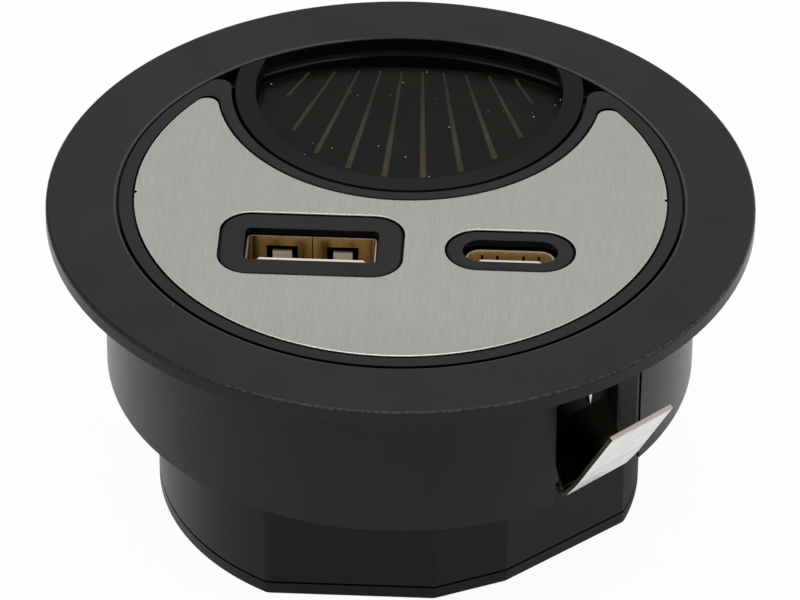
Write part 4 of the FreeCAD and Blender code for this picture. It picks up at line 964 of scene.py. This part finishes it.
EDGE_STEP, SAG_NEAR, SAG_FAR, SAG_SCALE = 0.3, 2.0, 11.5, 170.0
fingers = filled(fan, join(fan, given["Outline"], shaped), EDGE_STEP * MM)
web = filled(fan, shaped, EDGE_STEP * MM)
from_middle = add(fan, "ShaderNodeVectorMath", {0: here, 1: (0.0, SHEET_MIDDLE * MM, 0.0)},
                  operation="DISTANCE").outputs["Value"]
inward = add(fan, "ShaderNodeMapRange",
             {"Value": from_middle, "From Min": SAG_NEAR * MM, "From Max": SAG_FAR * MM,
              "To Min": 1.0, "To Max": 0.0}, interpolation_type="SMOOTHSTEP").outputs[0]
uneven = plus(fan, noise(fan, here, SAG_SCALE, 1.0, dimensions="2D"), 0.5)
top = minus(fan, given["Top"], times(fan, inward, given["Sag"], uneven))
web_top = minus(fan, top, given["Web Depth"])
fingers = thicken(fan, fingers, minus(fan, top, given["Thickness"]), given["Thickness"])
web = thicken(fan, web, minus(fan, web_top, given["Web Thickness"]), given["Web Thickness"])
pair = join(fan, keep(fan, web, "web", True, "BOOLEAN"), fingers)
webbed = add(fan, "GeometryNodeSetMaterial",
             {"Geometry": finished(fan, pair, given["Finish"]),
              "Selection": stored(fan, "web", "BOOLEAN"), "Material": given["Web Finish"]})
feed(fan, out, Geometry=webbed.outputs[0])

# %% [markdown]
# A tree's result lives only in the evaluated object. It is turned into a plain mesh here, on an
# object of its own, and the object that the tree ran on is taken away again with its modifier.

# %% From tree to plain mesh
def bake_tree(name, source, group, values):
    """A plain mesh object from a tree run on the source object, which is then removed."""
    modifier = source.modifiers.new("tree", "NODES")
    modifier.node_group = group
    for item in group.interface.items_tree:
        if item.item_type == "SOCKET" and item.in_out == "INPUT" and item.name in values:
            modifier[item.identifier] = values[item.name]
    source.update_tag()
    bpy.context.view_layer.update()
    ready = source.evaluated_get(bpy.context.evaluated_depsgraph_get())
    mesh = bpy.data.meshes.new_from_object(ready)
    mesh.name = name
    bpy.data.objects.remove(source)
    print(name, "has", len(mesh.polygons), "faces")
    return link_object(name, mesh)


sheet = bake_tree("finger_sheet", sheet_curve, fan, {"Finish": rubber, "Web Finish": web_brown})
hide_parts("finger_membrane")
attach(sheet, "cable_insert")

# %% [markdown]
# ## Plate with a rolled edge
# Blanking rolls the upper edge of sheet metal over a little, and that thin roll catches the
# light as a white line round the plate and its cut-outs. The solid's edge is sharp, so a copy of
# its mesh is merged, its flat triangles are joined, and its upper edges get a narrow bevel.

# %% Rolled plate
FLAT_ANGLE, EDGE_ANGLE, SMOOTH_ANGLE = math.radians(1), math.radians(60), math.radians(15)
LEVEL_SLACK, ROLL_WIDTH = 0.01 * MM, 0.12 * MM


def rolled_copy(name, node, level, width):
    """A copy of a solid whose edges at a level are bevelled by width."""
    shape = bmesh.new()
    shape.from_mesh(nodes[node].data)
    bmesh.ops.remove_doubles(shape, verts=shape.verts, dist=MERGED)
    bmesh.ops.dissolve_limit(shape, angle_limit=FLAT_ANGLE, verts=shape.verts, edges=shape.edges)
    edges = [edge for edge in shape.edges if edge.calc_face_angle(0.0) > EDGE_ANGLE
             and all(abs(vertex.co.z - level) < LEVEL_SLACK for vertex in edge.verts)]
    bmesh.ops.bevel(shape, geom=edges, offset=width, segments=2, profile=0.6, affect="EDGES")
    bmesh.ops.recalc_face_normals(shape, faces=shape.faces)
    mesh = bpy.data.meshes.new(name)
    shape.to_mesh(mesh)
    shape.free()
    mesh.shade_smooth()
    mesh.set_sharp_from_angle(angle=SMOOTH_ANGLE)
    print(name, "has", len(mesh.polygons), "faces and", len(edges), "rolled edges")
    return link_object(name, mesh)


plate = rolled_copy("rolled_plate", "face_plate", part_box("face_plate")[1].z, ROLL_WIDTH)
plate.data.materials.append(plate_metal)
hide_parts("face_plate")
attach(plate, "charger")

# %% [markdown]
# ## Screws
# Three long screws close the case from below and three short ones hold the board. One tree makes
# both, from named sizes. The head is a disc with a cross cut into it. Two bars make the cross,
# and the exact solver cuts them, because the fast one fails where two cutters overlap.

# %% Head of a screw
HEAD_SIDES, CROSS_SHARE, BELOW_HEAD = 48, 1.05, -0.02 * MM
screw, given, out = new_group(
    "Cross-head screws",
    {"Places": (SHAPE, None), "Head Radius": (NUMBER, 2.2 * MM), "Head Height": (NUMBER, 0.8 * MM),
     "Recess": (NUMBER, 0.45 * MM), "Slot": (NUMBER, 0.28 * MM), "Shank Radius": (NUMBER, 1.2 * MM),
     "Length": (NUMBER, 30.9 * MM), "Pitch": (NUMBER, 0.8 * MM), "Finish": (FINISH, None)},
    {"Geometry": SHAPE}, kind="GeometryNodeTree")
disc = add(screw, "GeometryNodeMeshCylinder",
           {"Vertices": HEAD_SIDES, "Radius": given["Head Radius"], "Depth": given["Head Height"]})
seated = lift(screw, disc.outputs["Mesh"], times(screw, given["Head Height"], 0.5))
head = add(screw, "GeometryNodeMeshBoolean", {"Mesh 1": seated}, operation="DIFFERENCE", solver="EXACT")
bar = add(screw, "GeometryNodeCurvePrimitiveQuadrilateral",
          {"Width": times(screw, given["Head Radius"], CROSS_SHARE),
           "Height": times(screw, given["Slot"], 2.0)}, mode="RECTANGLE").outputs[0]
flat_bar = add(screw, "GeometryNodeFillCurve", {"Curve": bar}).outputs[0]
for turn in (0.0, math.pi / 2):
    arm = add(screw, "GeometryNodeTransform", {"Geometry": flat_bar, "Rotation": (0.0, 0.0, turn)})
    cutter = thicken(screw, arm.outputs[0], BELOW_HEAD, given["Recess"])
    screw.links.new(cutter, head.inputs["Mesh 2"])

# %% [markdown]
# The shank is a plain cylinder, and the thread is a triangle swept along a spiral near its tip.
# Both are shares of the shank's radius. The screws stand on points, the heads' places.

# %% Shank and thread of a screw
def swept(tree, route, profile):
    """A profile drawn along a route, with closed ends."""
    inputs = {"Curve": route.outputs[0], "Profile Curve": profile.outputs[0], "Fill Caps": True}
    return add(tree, "GeometryNodeCurveToMesh", inputs).outputs[0]


SHANK_SIDES, CORE_SHARE, THREAD_SHARE, RIDGE_SHARE = 24, 0.82, 0.86, 0.13
THREADED_SHARE, LONGEST_THREAD, TIP = 0.6, 6.0 * MM, 0.2 * MM
below_head = minus(screw, given["Length"], given["Head Height"])
shank = add(screw, "GeometryNodeMeshCylinder",
            {"Vertices": SHANK_SIDES, "Radius": times(screw, given["Shank Radius"], CORE_SHARE),
             "Depth": below_head})
half_way = plus(screw, given["Head Height"], times(screw, below_head, 0.5))
raised = lift(screw, shank.outputs["Mesh"], half_way)
threaded = calc(screw, "MINIMUM", times(screw, given["Length"], THREADED_SHARE), LONGEST_THREAD)
thread_radius = times(screw, given["Shank Radius"], THREAD_SHARE)
spiral = add(screw, "GeometryNodeCurveSpiral",
             {"Resolution": 20, "Rotations": calc(screw, "DIVIDE", threaded, given["Pitch"]),
              "Start Radius": thread_radius, "End Radius": thread_radius,
              "Height": minus(screw, threaded, 2 * TIP)})
ridge = add(screw, "GeometryNodeCurvePrimitiveCircle",
            {"Resolution": 3, "Radius": times(screw, given["Shank Radius"], RIDGE_SHARE)}, mode="RADIUS")
thread = lift(screw, swept(screw, spiral, ridge),
              minus(screw, given["Length"], minus(screw, threaded, TIP)))
whole = join(screw, head.outputs["Mesh"], raised, thread)
stood = stand_on(screw, given["Places"], whole)
feed(screw, out, Geometry=finished(screw, stood, given["Finish"]))

# %% [markdown]
# The places come from the box round each set of solids, whose sides touch the outer heads.

# %% Both sets of screws
MIDDLE_X = 2.5 * MM


def place_points(name, places):
    """An object that only holds points, for a tree to stand pieces on."""
    mesh = bpy.data.meshes.new(name)
    mesh.from_pydata(places, [], [])
    return link_object(name, mesh)


def set_of_screws(name, node, places, values):
    """Screws at places on the charger, which take the place of a node's plain ones."""
    made = bake_tree(name, place_points(name + "_places", places), screw, values)
    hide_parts(node)
    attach(made, "charger")


low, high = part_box("case_screws")
radius = 2.2 * MM
set_of_screws(
    "cross_case_screws", "case_screws",
    [(low.x + radius, high.y - radius, low.z), (high.x - radius, high.y - radius, low.z),
     (MIDDLE_X, low.y + radius, low.z)],
    {"Head Radius": radius, "Head Height": 0.8 * MM, "Recess": 0.5 * MM, "Slot": 0.28 * MM,
     "Shank Radius": 1.25 * MM, "Length": high.z - low.z, "Pitch": 0.9 * MM, "Finish": zinc})
low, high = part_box("board_screws")
radius = 1.7 * MM
left, right = low.x + radius, high.x - radius
LEFT_TURN, RIGHT_TURN = math.radians(3), math.radians(-12.3)
set_of_screws(
    "cross_board_screws", "board_screws",
    [(left, left * math.tan(LEFT_TURN), low.z), (right, right * math.tan(RIGHT_TURN), low.z),
     (MIDDLE_X, low.y + radius, low.z)],
    {"Head Radius": radius, "Head Height": 1.2 * MM, "Recess": 0.6 * MM, "Slot": 0.22 * MM,
     "Shank Radius": 0.9 * MM, "Length": high.z - low.z, "Pitch": 0.6 * MM, "Finish": zinc})

# %% [markdown]
# ## Winding of the choke
# The choke's coil is lacquered wire in close turns round its core. The wire is a spiral curve that
# a small circle follows, in two layers, as on the real part. It lies inside the plain ring that
# stands for it in the solids.

# %% Winding
WIRE, LAYER_STEP = 0.18 * MM, 2.05
winding, given, out = new_group(
    "Close winding",
    {"Places": (SHAPE, None), "Turns": (NUMBER, 9.0), "Radius": (NUMBER, 3.5 * MM),
     "Wire": (NUMBER, WIRE), "Height": (NUMBER, 3.0 * MM), "Finish": (FINISH, None)},
    {"Geometry": SHAPE}, kind="GeometryNodeTree")
layers = []
for layer in (0, 1):
    radius = minus(winding, given["Radius"], times(winding, given["Wire"], LAYER_STEP * layer))
    route = add(winding, "GeometryNodeCurveSpiral",
                {"Resolution": 40, "Rotations": given["Turns"], "Start Radius": radius,
                 "End Radius": radius, "Height": given["Height"]})
    wire = add(winding, "GeometryNodeCurvePrimitiveCircle", {"Resolution": 8, "Radius": given["Wire"]},
               mode="RADIUS")
    layers.append(swept(winding, route, wire))
smooth = add(winding, "GeometryNodeSetShadeSmooth", {"Geometry": join(winding, *layers)}).outputs[0]
stood = stand_on(winding, given["Places"], smooth)
feed(winding, out, Geometry=finished(winding, stood, given["Finish"]))

# %% [markdown]
# The coil's sizes come from the ring's box, less the wire's own thickness, so that it stays
# inside it.

# %% The wound coil
low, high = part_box("inductor_winding")
seat = ((low.x + high.x) / 2, (low.y + high.y) / 2, low.z + WIRE * 1.05)
coil = bake_tree("wound_coil", place_points("winding_place", [seat]), winding,
                 {"Turns": 8.0, "Radius": (high.x - low.x) / 2 - WIRE * 1.1, "Wire": WIRE,
                  "Height": high.z - low.z - WIRE * 2.1, "Finish": copper_wire})
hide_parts("inductor_winding")
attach(coil, "charger")

# %% [markdown]
# ## Floor, light and camera
# The photograph shows the charger on plain white. The floor stays a diffuse surface, so that it
# can hold a soft shadow, but camera and mirror rays see it mostly as plain white. From below it
# is clear, so the underside can be seen.

# %% Floor
FLOOR_HALF, SEEN_WHITE, MIRRORED_WHITE = 2.0, 0.96, 0.75
floor_level = cad_box[0].z - 0.02 * MM
floor_mesh = bpy.data.meshes.new("floor")
corners = [(x, y, floor_level) for x, y in ((-FLOOR_HALF, -FLOOR_HALF), (FLOOR_HALF, -FLOOR_HALF),
                                            (FLOOR_HALF, FLOOR_HALF), (-FLOOR_HALF, FLOOR_HALF))]
floor_mesh.from_pydata(corners, [], [(0, 1, 2, 3)])
floor = link_object("floor", floor_mesh)
pale = bpy.data.materials.new("pale floor")
pale.use_nodes = True
tree = pale.node_tree
tree.nodes.clear()
matt = add(tree, "ShaderNodeBsdfDiffuse", {"Color": (0.92, 0.92, 0.92, 1)})
glow = add(tree, "ShaderNodeEmission", {"Color": (1, 1, 1, 1), "Strength": 1.0})
path = add(tree, "ShaderNodeLightPath").outputs
mirrored = calc(tree, "MAXIMUM", path["Is Glossy Ray"], path["Is Transmission Ray"])
share = calc(tree, "MAXIMUM", times(tree, path["Is Camera Ray"], SEEN_WHITE),
             times(tree, mirrored, MIRRORED_WHITE))
mixed = add(tree, "ShaderNodeMixShader", {0: share, 1: matt.outputs[0], 2: glow.outputs[0]})
behind = add(tree, "ShaderNodeNewGeometry").outputs["Backfacing"]
clear = add(tree, "ShaderNodeBsdfTransparent")
sided = add(tree, "ShaderNodeMixShader", {0: behind, 1: mixed.outputs[0], 2: clear.outputs[0]})
add(tree, "ShaderNodeOutputMaterial", {"Surface": sided.outputs[0]})
floor_mesh.materials.append(pale)
print("floor at", round(floor_level / MM, 2), "mm")

# %% [markdown]
# Big soft lamps and a pale world light the charger evenly, at a level where a colour comes out
# as it was written. The camera sees the world as plain white.

# %% World and lamps
world = bpy.data.worlds.new("studio")
bpy.context.scene.world = world
world.use_nodes = True
tree = world.node_tree
tree.nodes.clear()
lit = add(tree, "ShaderNodeBackground", {"Color": (1, 1, 1, 1), "Strength": 0.5})
backdrop = add(tree, "ShaderNodeBackground", {"Color": (1, 1, 1, 1), "Strength": 1.0})
seen = add(tree, "ShaderNodeLightPath").outputs["Is Camera Ray"]
mixed = add(tree, "ShaderNodeMixShader", {0: seen, 1: lit.outputs[0], 2: backdrop.outputs[0]})
add(tree, "ShaderNodeOutputWorld", {"Surface": mixed.outputs[0]})


def soft_lamp(name, place, size, watts):
    """A square lamp that looks at the charger."""
    data = bpy.data.lights.new(name, "AREA")
    data.shape = "SQUARE"
    data.size = size
    data.energy = watts
    lamp = link_object(name, data)
    lamp.location = place
    lamp.rotation_mode = "QUATERNION"
    lamp.rotation_quaternion = Vector(place).to_track_quat("Z", "Y")
    print("lamp:", name, watts, "W")


soft_lamp("overhead", (0.0, -0.1, 0.9), 0.8, 4.0)
soft_lamp("left", (-0.8, 0.1, 0.3), 0.6, 1.0)
soft_lamp("right", (0.8, 0.1, 0.3), 0.6, 0.9)

# %% [markdown]
# The camera's place was solved from the photograph's ellipses: a long lens about 0.6 m away,
# looking down by 36 degrees and turned by a hair about its own axis.

# %% Camera
LENS, SENSOR, ROLL = 269.48, 36.0, math.radians(0.389)
EYE, TARGET = Vector((21.18, -484.78, 346.90)) * MM, Vector((0.24, -5.34, -7.24)) * MM
data = bpy.data.cameras.new("camera")
data.sensor_width = SENSOR
data.lens = LENS
camera = link_object("camera", data)
camera.location = EYE
camera.rotation_mode = "QUATERNION"
camera.rotation_quaternion = (TARGET - EYE).to_track_quat("-Z", "Y") @ Quaternion((0, 0, 1), ROLL)
bpy.context.scene.camera = camera
bpy.context.scene.view_settings.view_transform = "Standard"
print("camera", round((TARGET - EYE).length, 3), "m from its target")
